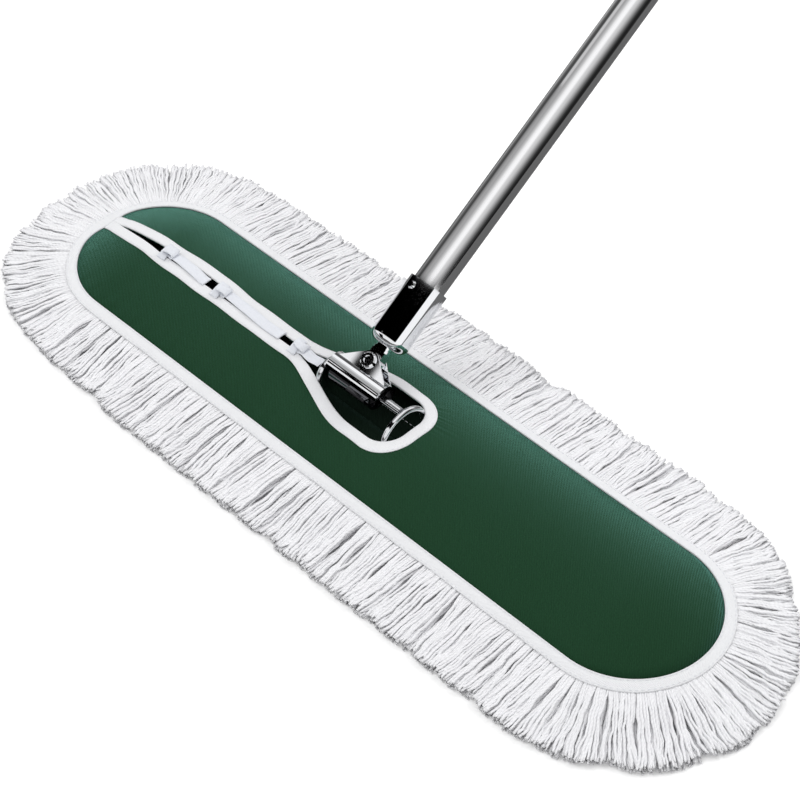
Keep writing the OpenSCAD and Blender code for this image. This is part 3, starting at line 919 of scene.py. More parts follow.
@dataclass
class FringeBed:
    """Packed yarn ends that lie under the strands of the fringe, painted a little darker as the shade in the
    gaps between strands.
    """

    middle: float = 97.0
    ways: int = 720
    ripple: float = 2.5
    loose: float = 80.0
    # Painted shade: the bed's yarn a little darker where it shows between the strands.
    tone: float = 0.92
    pitch: float = 2.0 / 3.0
    waves: Waves = Waves((31.0, 17.0, 11.0), (0.0, 1.0, 2.0))
    radii: Series = (63.4, 63.4, 72.0, 84.0, 96.0, 104.0, 104.0, 90.0)
    heights: Series = (0.4, 11.2, 9.8, 5.0, 2.0, 0.9, 0.3, 0.2)

    def shape(self) -> Surface:
        """A low ring: one section carried round the pad, its outer points moved by the mean of three sines.

        Returns:
            The ring.
        """
        radius = np.array(self.radii)
        number = np.arange(self.ways)
        wander = self.ripple * self.waves.at(number * PAD.perimeter(self.middle) / self.ways)
        reach = radius[None, :] + wander[:, None] * (radius > self.loose)[None, :]
        sections = raised(PAD.ring(self.ways, self.middle, reach), np.array(self.heights))
        return loft(sections, number * self.pitch).toned(self.tone)

    def dress(self) -> Piece:
        """Builds the bed."""
        return settle(self.shape(), "fringe_bed", Slot.YARN, COTTON, "yarn_fringe")


@dataclass
class Fringe:
    """The yarn fringe round the pad: strands in locks and tufts in five layers, with painted shade on the
    lower layers and at the roots.
    """

    root: float = 66.0
    middle: float = 97.0
    strand: float = 1.12
    strand_flat: float = 0.7
    strand_twist: float = 2.0
    spacing: float = 1.3
    spot_stray: float = 0.45
    lock: float = 9.0
    tuft: float = 27.0
    tuft_share: float = 0.6
    scallop: float = 2.6
    ragged: float = 2.6
    short_mean: float = 0.7
    short_most: float = 2.5
    rings: int = 14
    sides: int = 4
    heart_stray: float = 0.4
    bend: float = 0.13
    lean_stray: float = 0.025
    own_stray: float = 0.028
    bends: float = 0.8
    own_share: float = 0.45
    own_turns: tuple[float, float] = (2.3, 5.1)
    lock_share: float = 0.7
    lock_turns: tuple[float, float] = (2.6, 6.3)
    kink: float = 0.5
    kink_turns: float = 9.5
    ripple: float = 0.4
    ripple_turns: float = 4.4
    floor_gap: float = 0.05
    grip_range: tuple[float, float] = (0.2, 1.6)
    arch_range: tuple[float, float] = (-0.6, 0.9)
    girth_range: tuple[float, float] = (0.8, 1.2)
    tone_range: tuple[float, float] = (0.94, 1.0)
    root_heights: Series = (3.0, 5.8, 8.6, 11.2, 13.4)
    tip_heights: Series = (1.2, 2.2, 3.4, 4.8, 6.2)
    # Painted shade of each layer: the lower layers darker, for the shade between the strands.
    layer_shades: Series = (0.93, 0.95, 0.97, 0.99, 1.0)
    girths: Profile = Profile((0.0, 0.15, 0.5, 0.85, 0.97, 1.0), (0.9, 1.0, 1.05, 1.1, 1.05, 0.75))
    # Painted shade along each strand: darker at the root, under the hem's edge.
    shades: Profile = Profile((0.0, 0.1, 0.2, 1.0), (0.92, 0.98, 1.0, 1.0))
    grips: Profile = Profile(
        (0.0, 0.1, 0.25, 0.5, 0.6, 0.8, 0.87, 0.93, 0.97, 1.0),
        (0.04, 0.18, 0.28, 0.3, 0.11, 0.07, 0.28, 0.26, 0.06, 0.04),
    )
    reaches: Profile = Profile(
        (0.0, 0.04, 0.085, 0.16, 0.3, 0.475, 0.545, 0.615, 0.8, 0.9, 0.955, 1.0),
        (122.0, 124.0, 117.0, 126.0, 127.0, 126.5, 114.0, 126.0, 128.0, 124.0, 129.0, 122.0),
    )
    quarters: tuple[str, ...] = ("front_left", "front_right", "back_right", "back_left")

    def gather(self, spot: Array, width: float, seed: int) -> tuple[Array, ...]:
        """Shares the strands out among bunches.

        Args:
            spot: share of the outline at which each strand is sewn.
            width: mean width of a bunch.
            seed: number that fixes the bunches.

        Returns:
            For each strand its bunch's place, its offset from there in half widths, and the bunch's sideways
            lean, grip and wave phases.
        """
        chooser = np.random.default_rng(seed)
        length = PAD.perimeter(self.middle)
        number = int(length / width)
        stray = chooser.uniform(-self.heart_stray, self.heart_stray, number)
        heart = (np.arange(number) + 0.5 + stray) / number
        slow = Waves((length / 7, length / 13, length / 23), tuple(chooser.uniform(0, 6, 3)))
        lean = self.bend * slow.at(heart * length) + chooser.normal(0, self.lean_stray, number)
        grip = self.grips.at(heart) * chooser.uniform(*self.grip_range, number)
        phase = chooser.uniform(0, 2 * np.pi, (number, 2))
        nearest = np.argmin(np.abs(spot[:, None] - heart[None, :]), axis=1)
        offset = (spot - heart[nearest]) * number * 2
        return heart[nearest], offset, lean[nearest], grip[nearest], phase[nearest]

    def sideways(self, t: Array, own: Array, lock: Array) -> Array:
        """Sideways bends along the strands: sums of sines of the share along, growing with its square root.

        Args:
            t: share along the strand.
            own: three phases of each strand.
            lock: two phases of each strand's lock.

        Returns:
            The bends, strands by rings.
        """
        (first, second), (slow, quick) = self.own_turns, self.lock_turns
        alone = np.sin(first * np.pi * t + own[:, :1]) + 0.6 * np.sin(second * np.pi * t + own[:, 1:2])
        common = np.sin(slow * np.pi * t + lock[:, :1]) + 0.7 * np.sin(quick * np.pi * t + lock[:, 1:])
        kink = self.kink * np.sin(self.kink_turns * np.pi * t + own[:, 2:])
        return self.bends * np.sqrt(t) * (self.own_share * alone + self.lock_share * common + kink)

    def layer(self, level: int, low: float, high: float) -> Surface:
        """Strands of one layer over a part of the outline.

        A strand runs outward from under the hem. Its distance from its lock's middle shrinks and grows again
        along it, its height falls by a smooth curve, and slow and quick waves bend it sideways.

        Args:
            level: layer's number, from the floor up.
            low: share of the outline where the part starts.
            high: share where it ends.

        Returns:
            The strands.
        """
        source = np.random.default_rng(SEED + 10 * level + int(low * 100))
        count = int(PAD.perimeter(self.middle) * (high - low) / self.spacing)
        stray = source.uniform(-self.spot_stray, self.spot_stray, count)
        spot = low + (high - low) * (np.arange(count) + 0.5 + stray) / count
        heart, _, lean, grip, shared = self.gather(spot, self.lock, SEED + level // 3)
        _, wide, sway, _, _ = self.gather(spot, self.tuft, SEED + 50)
        heart_middle, heart_outward = PAD.place(heart, self.middle)
        own_middle, own_outward = PAD.place(spot, self.middle)
        t = np.linspace(0, 1, self.rings)[None, :]
        short = np.minimum(source.exponential(self.short_mean, count), self.short_most)
        tip = self.reaches.at(spot) - self.scallop * wide**2 - self.ragged * short
        radius = self.root + (tip - self.root)[:, None] * t
        pull = grip[:, None] * np.sin(np.pi * np.clip(t * 1.05, 0, 1)) ** 1.5
        straight = moved(own_middle, radius, own_outward)
        heart_line = moved(heart_middle, radius, heart_outward)
        lean = lean + self.tuft_share * sway + source.normal(0, self.own_stray, count)
        phase = source.uniform(0, 2 * np.pi, (count, 3))
        aside = np.stack([-own_outward[:, 1], own_outward[:, 0]], axis=-1)
        drift = lean[:, None] * (radius - self.root) + self.sideways(t, phase, shared)
        plan = straight + pull[..., None] * (heart_line - straight) + drift[..., None] * aside[:, None, :]
        fall = t * t * (3 - 2 * t)
        rise = self.root_heights[level] + (self.tip_heights[level] - self.root_heights[level]) * fall
        rise = rise + 4 * t * (1 - t) * source.uniform(*self.arch_range, count)[:, None] * (level > 1)
        rise = rise + self.ripple * t * np.cos(self.ripple_turns * np.pi * t + phase[:, 1:2]) * (level > 0)
        paths = raised(plan, np.maximum(rise, self.strand + self.floor_gap))
        girth = self.strand * source.uniform(*self.girth_range, count)[:, None] * self.girths.at(t)
        made = tubes(paths, girth, self.sides, self.strand_flat, phase[:, :1] + self.strand_twist * t)
        # Painted shade of the layer and the root, times a random tone of each strand.
        dark = self.shades.at(t) * self.layer_shades[level]
        tone = dark[..., None] * source.uniform(*self.tone_range, (count, 1, 1))
        made.shade = np.broadcast_to(tone, (count, self.rings, self.sides)).reshape(-1)
        return made

    def dress(self) -> list[Piece]:
        """Builds the four quarters of the fringe.

        Returns:
            The pieces.
        """
        pieces = []
        for number, name in enumerate(self.quarters):
            layers = [self.layer(k, number / 4, (number + 1) / 4) for k in range(len(self.layer_shades))]
            made = Surface.joined(layers)
            pieces.append(settle(made, f"fringe_{name}", Slot.YARN, COTTON, "yarn_fringe"))
        return pieces


@dataclass
class Cover:
    """Green canvas cover of the pocket."""

    thick: float = 1.4
    past: float = 1.2
    sunk: float = 0.15
    strips: int = 26
    stretch: int = 130
    pucker: float = 0.45
    seam_share: float = 0.5
    seam_start: float = 4.0
    seam_fade: float = 7.0
    seam_waves: Waves = Waves((13.0, 21.0), (0.0, 1.3))
    slit_share: float = 0.3
    slit_start: float = 6.0
    slit_fade: float = 9.0
    slit_waves: Waves = Waves((31.0, 47.0), (0.7, 2.0))
    slack_hold: float = 12.0
    slack_slant: float = 0.4
    slack_waves: Waves = Waves((210.0, 133.0, 90.0), (0.3, 1.9, 4.0))

    def shape(self) -> Surface:
        """Crowned sheet between the opening's edge and the pad's edge.

        A point is the straight mix of an edge point of the opening and the facing point of the pad's outline,
        lifted to the crown, with small puckers next to the two seams and a slow slack between them.

        Returns:
            The cover as a thin closed sheet.
        """
        inner = KEYHOLE.outline(self.stretch)
        middle, outward = PAD.place(KEYHOLE.outer_ways(self.stretch), PAD.half)
        outer = middle + (PAD.half + self.past) * outward
        way = run_along(outer)
        span = (outer - inner)[:, None, :] * np.linspace(0, 1, self.strips)[None, :, None]
        plan = inner[:, None, :] + span
        reach = np.linalg.norm(span, axis=-1)
        rest = np.linalg.norm(outer - inner, axis=-1)[:, None] - reach
        seam = np.exp(-rest / self.seam_fade) * self.seam_waves.at(way)[:, None]
        seam = seam * np.clip(rest / self.seam_start, 0, 1)
        slit = np.exp(-np.maximum(reach - self.slit_start, 0) / self.slit_fade)
        slit = slit * self.slit_waves.at(way)[:, None]
        slack = self.slack_waves.at(plan[..., 0] + self.slack_slant * plan[..., 1])
        slack = slack * np.clip(rest / self.slack_hold, 0, 1) * np.clip(reach / self.slack_hold, 0, 1)
        puckers = self.seam_share * seam + self.slit_share * slit + slack
        upper = raised(plan, PAD.height(plan) + self.pucker * puckers - self.sunk)
        lower = upper[:, ::-1] - np.array([0.0, 0.0, self.thick])
        return loft(np.concatenate([upper, lower], axis=1))

    def dress(self) -> tuple[Piece, float]:
        """Builds the cover and measures one side of it."""
        shape = self.shape()
        return settle(shape, "canvas_cover", Slot.CANVAS, GREEN, "pad_cover"), shape.one_side()


@dataclass
class Sole:
    """Lining of the pocket with its stitch rows, and the yarn sole under it; the lining is the green canvas
    painted near black for the shade inside the pocket, and the sole's bed and loops are painted darker as
    shade.
    """

    slab_ways: int = 240
    slab_rings: int = 12
    lining_inset: float = 0.6
    lining_low: float = 8.3
    lining_high: float = 9.8
    stitch_rows: Series = (-15.0, 18.0)
    stitch_end: float = 250.0
    bed_inset: float = 0.8
    bed_low: float = 3.0
    bed_high: float = 7.9
    # Painted shade: the sole's bed darker between the rows of loops.
    bed_shade: float = 0.6
    bed_fill: float = 0.7
    row_pairs: int = 11
    row_pitch: float = 5.0
    row_points: int = 150
    row_sides: int = 8
    row_radius: float = 2.35
    row_reach: float = 58.0
    # Painted shade: the loops a little darker under the pad.
    row_shade: float = 0.85
    row_gap: float = 0.3
    loop_length: float = 11.0
    loop_shift: float = 2.1
    loop_swing: float = 0.7
    loop_lift: float = 0.25

    def slab(self, radius: float, low: float, high: float) -> Surface:
        """A flat stadium slab: rings of the outline drawn in to the middle line, top and bottom.

        Args:
            radius: distance of its edge from the middle line.
            low: height of its underside.
            high: height of its top.

        Returns:
            The slab, with the plan as its chart.
        """
        rings = np.linspace(0.0, 1.0, self.slab_rings)
        reach = radius * np.concatenate([rings, rings[::-1]])
        plan = PAD.ring(self.slab_ways, radius, reach)
        return loft(raised(plan, np.repeat([high, low], self.slab_rings)))

    def rows(self) -> Surface:
        """Rows of looped yarn: lengthwise tubes that swing by a sine sideways and by a cosine in height.

        Returns:
            The rows.
        """
        number = np.arange(2 * self.row_pairs + 1)
        y = (number - self.row_pairs) * self.row_pitch
        end = PAD.straight + np.sqrt(self.row_reach**2 - y**2)
        x = end[:, None] * np.linspace(-1, 1, self.row_points)[None, :]
        wave = x * (2 * np.pi / self.loop_length) + (number * self.loop_shift)[:, None]
        side = y[:, None] + self.loop_swing * np.sin(wave)
        rise = self.row_radius + self.row_gap + self.loop_lift * (1 + np.cos(wave))
        paths = np.stack([x, side, rise], axis=-1)
        return tubes(paths, np.full(x.shape, self.row_radius), self.row_sides).toned(self.row_shade)

    def dress(self) -> None:
        """Builds the lining, its stitches, the sole's bed and its loops."""
        shape = self.slab(PAD.half - self.lining_inset, self.lining_low, self.lining_high)
        lining = settle(shape, "pocket_lining", Slot.CANVAS, POCKET_PAINTED_SHADE, "base_panel")
        ends = (-self.stitch_end, self.stitch_end)
        lines = [np.array([(x, y, self.lining_high) for x in ends]) for y in self.stitch_rows]
        seams = Stitches().dress("lining_stitches", *lines)
        bed = self.slab(PAD.half - self.bed_inset, self.bed_low, self.bed_high).toned(self.bed_shade)
        sole = settle(bed, "sole_bed", Slot.YARN, COTTON, "yarn_sole")
        settle(self.rows(), "sole_loops", Slot.YARN, COTTON, "yarn_sole")
        shape.one_side()


@dataclass
class Hem:
    """White hem tape round the cover, sewn down by two seams."""

    length: float = 1.4
    ways: int = 900
    inner: float = 63.0
    outer: float = 71.8
    thick: float = 1.3
    lift: float = 0.3
    high: float = 16.3
    low: float = 13.9
    gather: float = 6.5
    gather_reach: float = 14.0
    across: Series = (0.0, 0.02, 0.06, 0.1, 0.14, 0.3, 0.5, 0.7, 0.86, 0.93, 0.98, 1.0)
    roll: Series = (0.35, 0.9, 1.25, 1.1, 0.85, 0.95, 1.05, 1.0, 0.8, 0.9, 0.8, 0.45)
    seams: tuple[int, int] = (4, 8)
    wander: float = 0.35
    wander_waves: Waves = Waves((97.0, 61.0, 37.0), (0.2, 1.0, 2.5))
    ripple: float = 0.12
    ripple_waves: Waves = Waves((9.0, 14.0), (0.0, 2.0))

    def height(self, radius: Array) -> Array:
        """Height of the underside: over the crown's edge and then sloping down to the fringe.

        Args:
            radius: distances from the pad's middle line.

        Returns:
            Height at each distance.
        """
        crown = PAD.height(np.stack([PAD.straight + radius, np.zeros_like(radius)], axis=-1))
        slope = np.interp(radius, [PAD.half, self.outer], [self.high, self.low])
        return np.where(radius < PAD.half, crown + self.lift, slope)

    def sections(self) -> Array:
        """Sections of the tape all round the pad.

        A section's height is the underside's plus the tape's thickness times a fixed roll across it; the
        tape widens by a bell curve where its ends meet at the slit's tip.

        Returns:
            Array of ways, section points and coordinates.
        """
        across = np.array(self.across)[None, :]
        way = self.way()
        turned = np.minimum(way, PAD.perimeter(PAD.half) - way)
        inner = self.inner - self.gather * np.exp(-((turned / self.gather_reach) ** 2))
        radius = inner[:, None] + (self.outer - inner)[:, None] * across
        ripple = self.ripple * self.ripple_waves.at(way)[:, None] * np.sin(np.pi * across)
        under = self.height(radius)
        top = under + self.thick * np.array(self.roll)[None, :] + ripple
        wide = radius + self.wander * self.wander_waves.at(way)[:, None] * across
        plan = PAD.ring(self.ways, PAD.half, np.concatenate([wide, wide[:, ::-1]], axis=1))
        return raised(plan, np.concatenate([top, under[:, ::-1]], axis=1))

    def way(self) -> Array:
        """Distance of each section along the pad's edge."""
        return np.arange(self.ways) / self.ways * PAD.perimeter(PAD.half)

    def dress(self) -> None:
        """Builds the tape and its two rows of stitches."""
        sections = self.sections()
        shape = loft(sections, self.way())
        hem = settle(shape, "hem_band", Slot.TAPE, WHITE_TAPE, "hem_tape")
        lines = [np.concatenate([sections[:, k], sections[:1, k]]) for k in self.seams]
        rows = Stitches().dress("hem_stitches", *lines)
        size = (shape.one_side() / self.length, self.length)


@dataclass
class Binding:
    """White binding folded over the edge of the opening, with one seam."""

    length: float = 0.68
    stretch: int = 150
    width: float = 8.5
    thick: float = 0.9
    lift: float = 0.2
    under: float = 0.12
    least: float = 0.15
    smoothing: int = 10
    across: Series = (-0.06, -0.07, -0.02, 0.08, 0.3, 0.55, 0.78, 0.86, 0.95, 1.0)
    roll: Series = (-0.6, 0.3, 0.95, 1.15, 1.05, 1.1, 0.85, 0.7, 0.8, 0.35)
    seam: int = 7
    wander: float = 0.05
    waves: Waves = Waves((83.0, 41.0), (0.5, 2.2))
    stitches: Stitches = field(default_factory=lambda: Stitches(length=2.2, gap=1.3, radius=0.22))

    def shape(self) -> tuple[Surface, Array]:
        """The folded tape: the opening's outline moved outward along its normals by shares of the width.

        Returns:
            The binding and the seam's line.
        """
        edge = KEYHOLE.outline(self.stretch)
        ahead = unit(np.roll(edge, -1, axis=0) - np.roll(edge, 1, axis=0))
        away = np.stack([ahead[:, 1], -ahead[:, 0]], axis=-1)
        for _ in range(self.smoothing):
            away = unit(softened(away))
        way = run_along(edge)
        width = self.width * (1 + self.wander * self.waves.at(way))
        roll = np.array(self.roll)[None, :]
        plan = moved(edge, width[:, None] * np.array(self.across)[None, :], away)
        top = PAD.height(plan) + self.lift + self.thick * roll
        low = PAD.height(plan) + self.under + np.minimum(roll, 0) * self.thick
        upper = raised(plan, top)
        lower = raised(plan, np.minimum(low, top - self.least))[:, ::-1]
        return loft(np.concatenate([upper, lower], axis=1), way), upper[:, self.seam]

    def dress(self) -> None:
        """Builds the binding and its row of stitches."""
        shape, line = self.shape()
        binding = settle(shape, "slit_tape", Slot.TAPE, WHITE_TAPE, "slit_binding")
        row = self.stitches.dress("binding_stitches", line)
        size = (shape.one_side() / self.length, self.length)


@dataclass
class Ties:
    """Three knotted tapes across the slit."""

    flat_width: float = 0.01
    width: float = 9.0
    thick: float = 0.8
    low: float = 32.3
    names: tuple[str, ...] = ("left", "middle", "right")
    places: Series = (-227.0, -168.0, -84.1)
    tails: Series = (45.5, 68.0, 25.0)
    section_u: Series = (-0.5, -0.47, -0.25, 0.0, 0.25, 0.47, 0.5, 0.47, 0.25, 0.0, -0.25, -0.47)
    section_v: Series = (0.0, 0.42, 0.5, 0.5, 0.5, 0.42, 0.0, -0.42, -0.5, -0.5, -0.5, -0.42)
    points: int = 28
    strap_half: float = 8.0
    strap_lift: float = 1.6
    strap_dip: float = 0.3
    strap_back: float = 1.0
    strap_slant: float = 1.2
    strap_width: float = 6.6
    strap_flare: float = 1.6
    loop_points: int = 40
    loop_ends: tuple[float, float] = (-0.62 * np.pi, 1.35 * np.pi)
    loop_long: float = 5.4
    loop_high: float = 2.4
    loop_ahead: float = 3.4
    loop_rise: float = 2.6
    loop_sway: float = 0.9
    loop_slant: float = 0.25
    loop_width: float = 7.6
    loop_flare: float = 1.4
    tail_start: float = 1.5
    tail_sway: float = 0.9
    tail_arch: float = 0.9
    tail_ripple: float = 0.5
    tail_taper: float = 2.5

    def ribbon(self, path: Array, side: Array, width: Array) -> Surface:
        """A closed flat tape along a path: an oblong section set across the path.

        Args:
            path: points of the tape's middle.
            side: unit vectors across the tape, or one for all of it.
            width: width at each point.

        Returns:
            The tape with closed ends.
        """
        side = np.broadcast_to(side, path.shape)
        face = unit(np.cross(unit(np.gradient(path, axis=0)), side))
        wide = width[:, None] * np.array(self.section_u)[None, :]
        high = self.thick * np.array(self.section_v)[None, :]
        points = moved(path, wide, side) + high[..., None] * face[:, None, :]
        chart = np.stack([np.broadcast_to(run_along(path)[:, None], wide.shape), wide], axis=-1)
        return Surface(points.reshape(-1, 3), capped_quads(*wide.shape), chart.reshape(-1, 2))

    def shape(self, x: float, tail: float, number: int) -> Surface:
        """A knotted tape: a strap across the slit, a loop drawn round it and a loose end along the slit.

        Args:
            x: place of the knot along the pad.
            tail: length of the loose end.
            number: the tie's number, for its own lie.

        Returns:
            The tape's three stretches.
        """
        t = np.linspace(0, 1, self.points)
        low = self.low + self.thick / 2
        out = np.abs(2 * t - 1)
        strap_x = x - self.strap_back + self.strap_slant * np.cos(np.pi * t)
        strap_z = low + self.strap_lift * np.sin(np.pi * t) ** 2 - self.strap_dip * out**3
        strap = np.stack([strap_x, self.strap_half * (2 * t - 1), strap_z], axis=-1)
        angle = np.linspace(*self.loop_ends, self.loop_points)
        loop_x = x + self.loop_long * np.cos(angle) + self.loop_ahead
        loop_z = low + self.loop_rise + self.loop_high * np.sin(angle)
        loop = np.stack([loop_x, self.loop_sway * np.sin(2 * angle + number), loop_z], axis=-1)
        slant = unit(np.stack([self.loop_slant * np.sin(angle), np.ones_like(angle), 0 * angle], axis=-1))
        end_x = x + self.tail_start + (tail - self.tail_start) * t
        end_y = self.tail_sway * np.sin(1.5 * np.pi * t + number)
        end_z = low + self.tail_arch * np.sin(np.pi * t) * (1 - t)
        end_z = end_z + self.tail_ripple * np.sin(2.2 * np.pi * t + number) ** 2
        end = np.stack([end_x, end_y, end_z], axis=-1)
        parts = [
            self.ribbon(strap, np.array([1.0, 0.0, 0.0]), self.strap_width + self.strap_flare * out),
            self.ribbon(loop, slant, self.loop_width + self.loop_flare * np.sin(angle + number)),
            self.ribbon(end, np.array([0.0, 1.0, 0.0]), self.width - self.tail_taper * np.exp(-6 * t)),
        ]
        return Surface.joined(parts)

    def dress(self) -> None:
        """Builds the three ties."""
        for number, name in enumerate(self.names):
            shape = self.shape(self.places[number], self.tails[number], number)
            made = settle(shape, f"tie_tape_{name}", Slot.TAPE, TIE_TAPE, f"tie_{name}")
            shape.one_side() / self.flat_width


@dataclass(frozen=True)
class Coat:
    """One finish and slot for some solids of a body."""

    body: Body
    slot: Slot
    finish: Finish
    solids: tuple[str, ...]


@dataclass
class Fittings:
    """Finishes of the solid fittings."""

    coats: tuple[Coat, ...] = (
        Coat(Body.HEAD, Slot.WIRE, WIRE_CHROME, ("frame_loop", "cross_wire_left", "cross_wire_right")),
        Coat(Body.HEAD, Slot.WIRE, WIRE_CHROME, ("axle_rod",)),
        Coat(Body.CLIP, Slot.CLIP, CHROME, ("clip_saddle", "swivel_rivet")),
        Coat(Body.CLIP, Slot.NYLON, NYLON, ("rod_bearing",)),
        Coat(Body.CLIP, Slot.SPRING, CHROME, ("washer_front", "washer_back", "hinge_pin")),
        Coat(Body.CLIP, Slot.SPRING, SPRING_STEEL, ("gate_spring",)),
        Coat(Body.GATE, Slot.CLIP, DARK_CHROME, ("clip_gate",)),
        Coat(Body.GATE, Slot.NYLON, NYLON, ("gate_pad",)),
        Coat(Body.HANDLE, Slot.CLIP, CHROME, ("swivel_yoke",)),
        Coat(Body.HANDLE, Slot.TUBE, CHROME, ("handle_socket",)),
        Coat(Body.HANDLE, Slot.SPRING, CHROME, ("socket_screw",)),
        Coat(Body.HANDLE, Slot.TUBE, TUBE_CHROME, ("handle_tube",)),
        Coat(Body.HANDLE, Slot.GRIP, RUBBER, ("hand_grip", "hang_cap")),
    )

    def dress(self) -> None:
        """Gives each shown solid its finish."""
        for coat in self.coats:
            for name in coat.solids:
                coat.finish.coat(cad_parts[name], coat.slot)
                LOG.info("%s: %s on %s", name, coat.finish.name, coat.body.value)


@dataclass(frozen=True)
class Lamp:
    """A soft rectangular lamp that mirrors do not see; its power is in watts."""

    name: str
    place: Triple
    aim: Triple
    size: tuple[float, float]
    power: float

    def build(self) -> None:
        """Hangs the lamp and turns it to its aim."""
        data = bpy.data.lights.new(self.name, "AREA")
        data.shape = "RECTANGLE"
        data.size, data.size_y = self.size
        data.energy = self.power
        made = added(self.name, data)
        made.location = self.place
        made.rotation_euler = (Vector(self.aim) - Vector(self.place)).to_track_quat("-Z", "Y").to_euler()
        made.visible_glossy = False


@dataclass(frozen=True)
class Card:
    """A bright patch of the screen between two angles and two places along the handle."""

    first: float
    last: float
    low: float
    high: float
    light: float


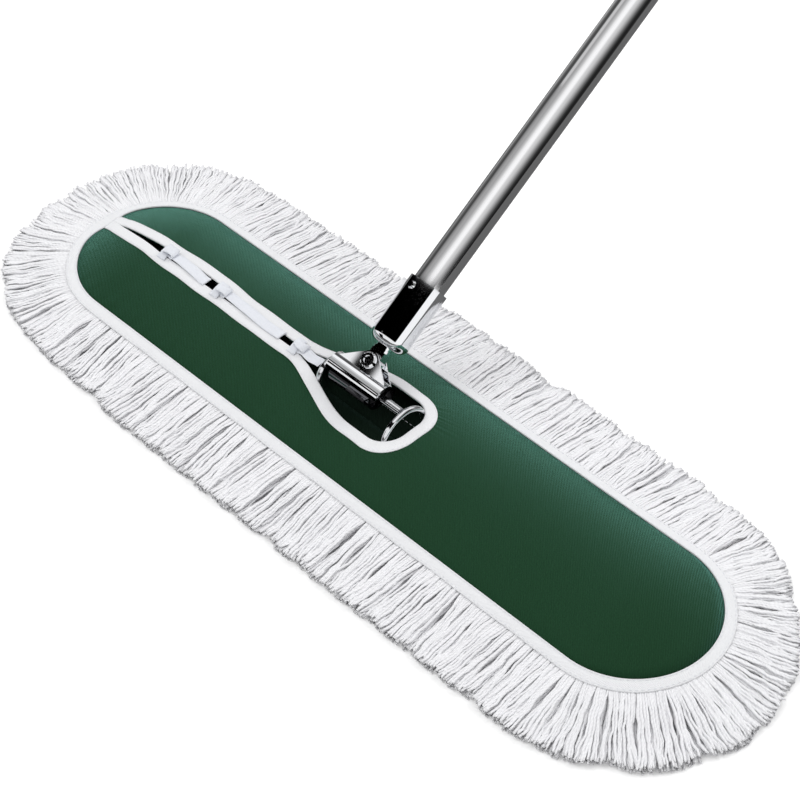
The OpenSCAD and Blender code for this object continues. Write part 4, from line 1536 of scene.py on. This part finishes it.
@dataclass
class Studio:
    """Pale floor, soft lamps, a banded screen for the metal to mirror, and the photograph's camera."""

    eye: Triple = (0.8533, -0.8329, 1.2709)
    right: Triple = (0.70735, 0.70686, 0.0)
    up: Triple = (-0.50804, 0.50839, 0.69529)
    back: Triple = (0.49147, -0.49182, 0.71873)
    lens: float = 109.04
    sensor: float = 36.0
    far: float = 50.0
    floor_half: float = 6000.0
    paper: Triple = (0.93, 0.93, 0.93)
    paper_mirrored: Triple = (0.13, 0.13, 0.13)
    paper_glow: float = 0.12
    sky_given: float = 0.8
    sky_seen: float = 1.0
    lamps: tuple[Lamp, ...] = (
        Lamp("key", (-1.0, -0.7, 2.2), (0.0, 0.0, 0.0), (1.4, 1.4), 19.0),
        Lamp("rim", (0.7, 1.6, 1.6), (0.0, 0.1, 0.1), (1.6, 0.8), 15.0),
    )
    lean: float = math.radians(56.2)
    tent_foot: Triple = (-0.02, 0.0, 0.042)
    tent_radius: float = 0.7
    tent_ends: tuple[float, float] = (-1.1, 1.7)
    tent_sides: int = 720
    socket_end: float = 0.123
    tube_bands: Profile = Profile(
        (
            *(-180, -113, -95, -86, -67, -58, -50, -36, -23, -10, 1, 13),
            *(25, 36, 48, 60, 72, 84, 97, 112, 128, 147, 180),
        ),
        (
            *(0.3, 0.55, 0.3, 0.16, 0.06, 0.2, 0.36, 0.46, 0.5, 0.74, 1.1, 1.3),
            *(1.28, 0.9, 0.76, 0.48, 0.21, 0.06, 0.015, 0.03, 0.34, 0.24, 0.09),
        ),
    )
    socket_bands: Profile = Profile(
        (-180, -150, -140, 61, 63, 136, 144, 180),
        (0.1, 0.08, 0.0, 0.0, 1.15, 1.15, 0.1, 0.1),
    )
    cards: tuple[Card, ...] = (
        Card(-181, -50, -0.8, -0.15, 1.0),
        Card(-50, -20, -0.31, -0.15, 1.0),
        Card(-20, 181, -0.8, -0.15, 1.0),
        Card(-54, -28, 0.36, 0.5, 0.75),
        Card(-56, -26, 0.5, 1.7, 1.15),
        Card(-33.5, -31.4, -0.02, 0.034, 1.1),
        Card(-29.1, -27.5, -0.02, 0.034, 1.1),
    )

    def camera(self) -> None:
        """Sets the camera where the photograph was taken."""
        data = bpy.data.cameras.new("camera")
        data.sensor_width = self.sensor
        data.lens = self.lens
        data.clip_end = self.far
        made = added("camera", data)
        turn = Matrix((self.right, self.up, self.back)).transposed()
        made.matrix_world = Matrix.Translation(self.eye) @ turn.to_4x4()
        bpy.context.scene.camera = made

    def floor(self) -> None:
        """A wide pale floor that keeps the soft shadow and looks darker in mirrors."""
        corners = self.floor_half * np.array([[-1, -1, 0], [1, -1, 0], [1, 1, 0], [-1, 1, 0]])
        made = Surface(corners, np.array([[0, 1, 2, 3]]), corners[:, :2]).build("floor")
        values = {"Roughness": 0.9, "Specular IOR Level": 0.0, "Emission Strength": self.paper_glow}
        material, tree, shader = blank("floor_paper", values)
        path = tree.nodes.new("ShaderNodeLightPath")
        paper = ramp(tree, path.outputs["Is Glossy Ray"], self.paper, self.paper_mirrored)
        wire(tree, paper, shader.inputs["Base Color"])
        wire(tree, paper, shader.inputs["Emission Color"])
        made.data.materials.append(material)

    def sky(self) -> None:
        """White for the camera and the metal, softer for the light that it gives."""
        world = bpy.data.worlds.new("studio")
        bpy.context.scene.world = world
        world.use_nodes = True
        tree = world.node_tree
        shade = tree.nodes["Background"]
        path = tree.nodes.new("ShaderNodeLightPath")
        seen = maths(tree, "MAXIMUM", path.outputs["Is Camera Ray"], path.outputs["Is Transmission Ray"])
        seen = maths(tree, "MAXIMUM", seen, path.outputs["Is Glossy Ray"])
        level = maths(tree, "MULTIPLY_ADD", seen, self.sky_seen - self.sky_given, self.sky_given)
        wire(tree, level, shade.inputs["Strength"])
        shade.inputs["Color"].default_value = (1.0, 1.0, 1.0, 1.0)

    def tent(self) -> None:
        """A round screen about the handle that only mirrors see, with lengthwise bands of light and dark.

        A point of the screen is the handle's axis point plus the radius times the cosine of its angle along
        the upward direction across the handle, plus the radius times the sine of its angle along X.
        """
        ends = [place for card in self.cards for place in (card.low, card.high)]
        edges = np.array([self.socket_end, *ends])
        places = np.unique(np.concatenate([self.tent_ends, edges - 0.001, edges + 0.001]).round(4))
        rows, sides = len(places), self.tent_sides
        angle = np.linspace(-np.pi, np.pi, sides, endpoint=False)[None, :, None]
        along = places[:, None, None]
        axis = np.array([0.0, math.sin(self.lean), math.cos(self.lean)])
        across = np.array([0.0, -math.cos(self.lean), math.sin(self.lean)])
        ring = np.cos(angle) * across + np.sin(angle) * np.array([1.0, 0.0, 0.0])
        points = (np.array(self.tent_foot) + along * axis + self.tent_radius * ring).reshape(-1, 3) / MM
        turn = np.degrees(np.broadcast_to(angle, (rows, sides, 1)))
        light = np.where(along < self.socket_end, self.socket_bands.at(turn), self.tube_bands.at(turn))
        for card in self.cards:
            inside = (turn > card.first) & (turn < card.last) & (along > card.low) & (along < card.high)
            light = np.where(inside, np.maximum(light, card.light), light)
        faces = ring_quads(rows, sides, close_rows=False)
        made = Surface(points, faces, points[:, :2], light.ravel()).build("tent")
        material, tree, _ = blank("tent", {})
        glow = tree.nodes.new("ShaderNodeEmission")
        wire(tree, tone_of(tree), glow.inputs["Strength"])
        wire(tree, glow.outputs[0], tree.nodes["Material Output"].inputs["Surface"])
        made.data.materials.append(material)
        made.visible_camera = False
        made.visible_diffuse = False
        made.visible_shadow = False
        made.visible_transmission = False

    def dress(self) -> None:
        """Builds the studio."""
        self.camera()
        self.floor()
        self.sky()
        for lamp in self.lamps:
            lamp.build()
        self.tent()
        bpy.context.scene.view_settings.view_transform = "Standard"
        LOG.info("studio: %d lamps", len(self.lamps))


def main() -> None:
    """Builds the studio and every sub-assembly in order."""
    logging.basicConfig(level=logging.INFO, format="%(message)s")
    Studio().dress()
    fringe = [FringeBed().dress(), *Fringe().dress()]
    cover, area = Cover().dress()
    for assembly in (Sole(), Hem(), Binding(), Ties(), Fittings()):
        assembly.dress()
    area = min(area, math.prod(PAD.flat))


if __name__ == "__main__":
    main()
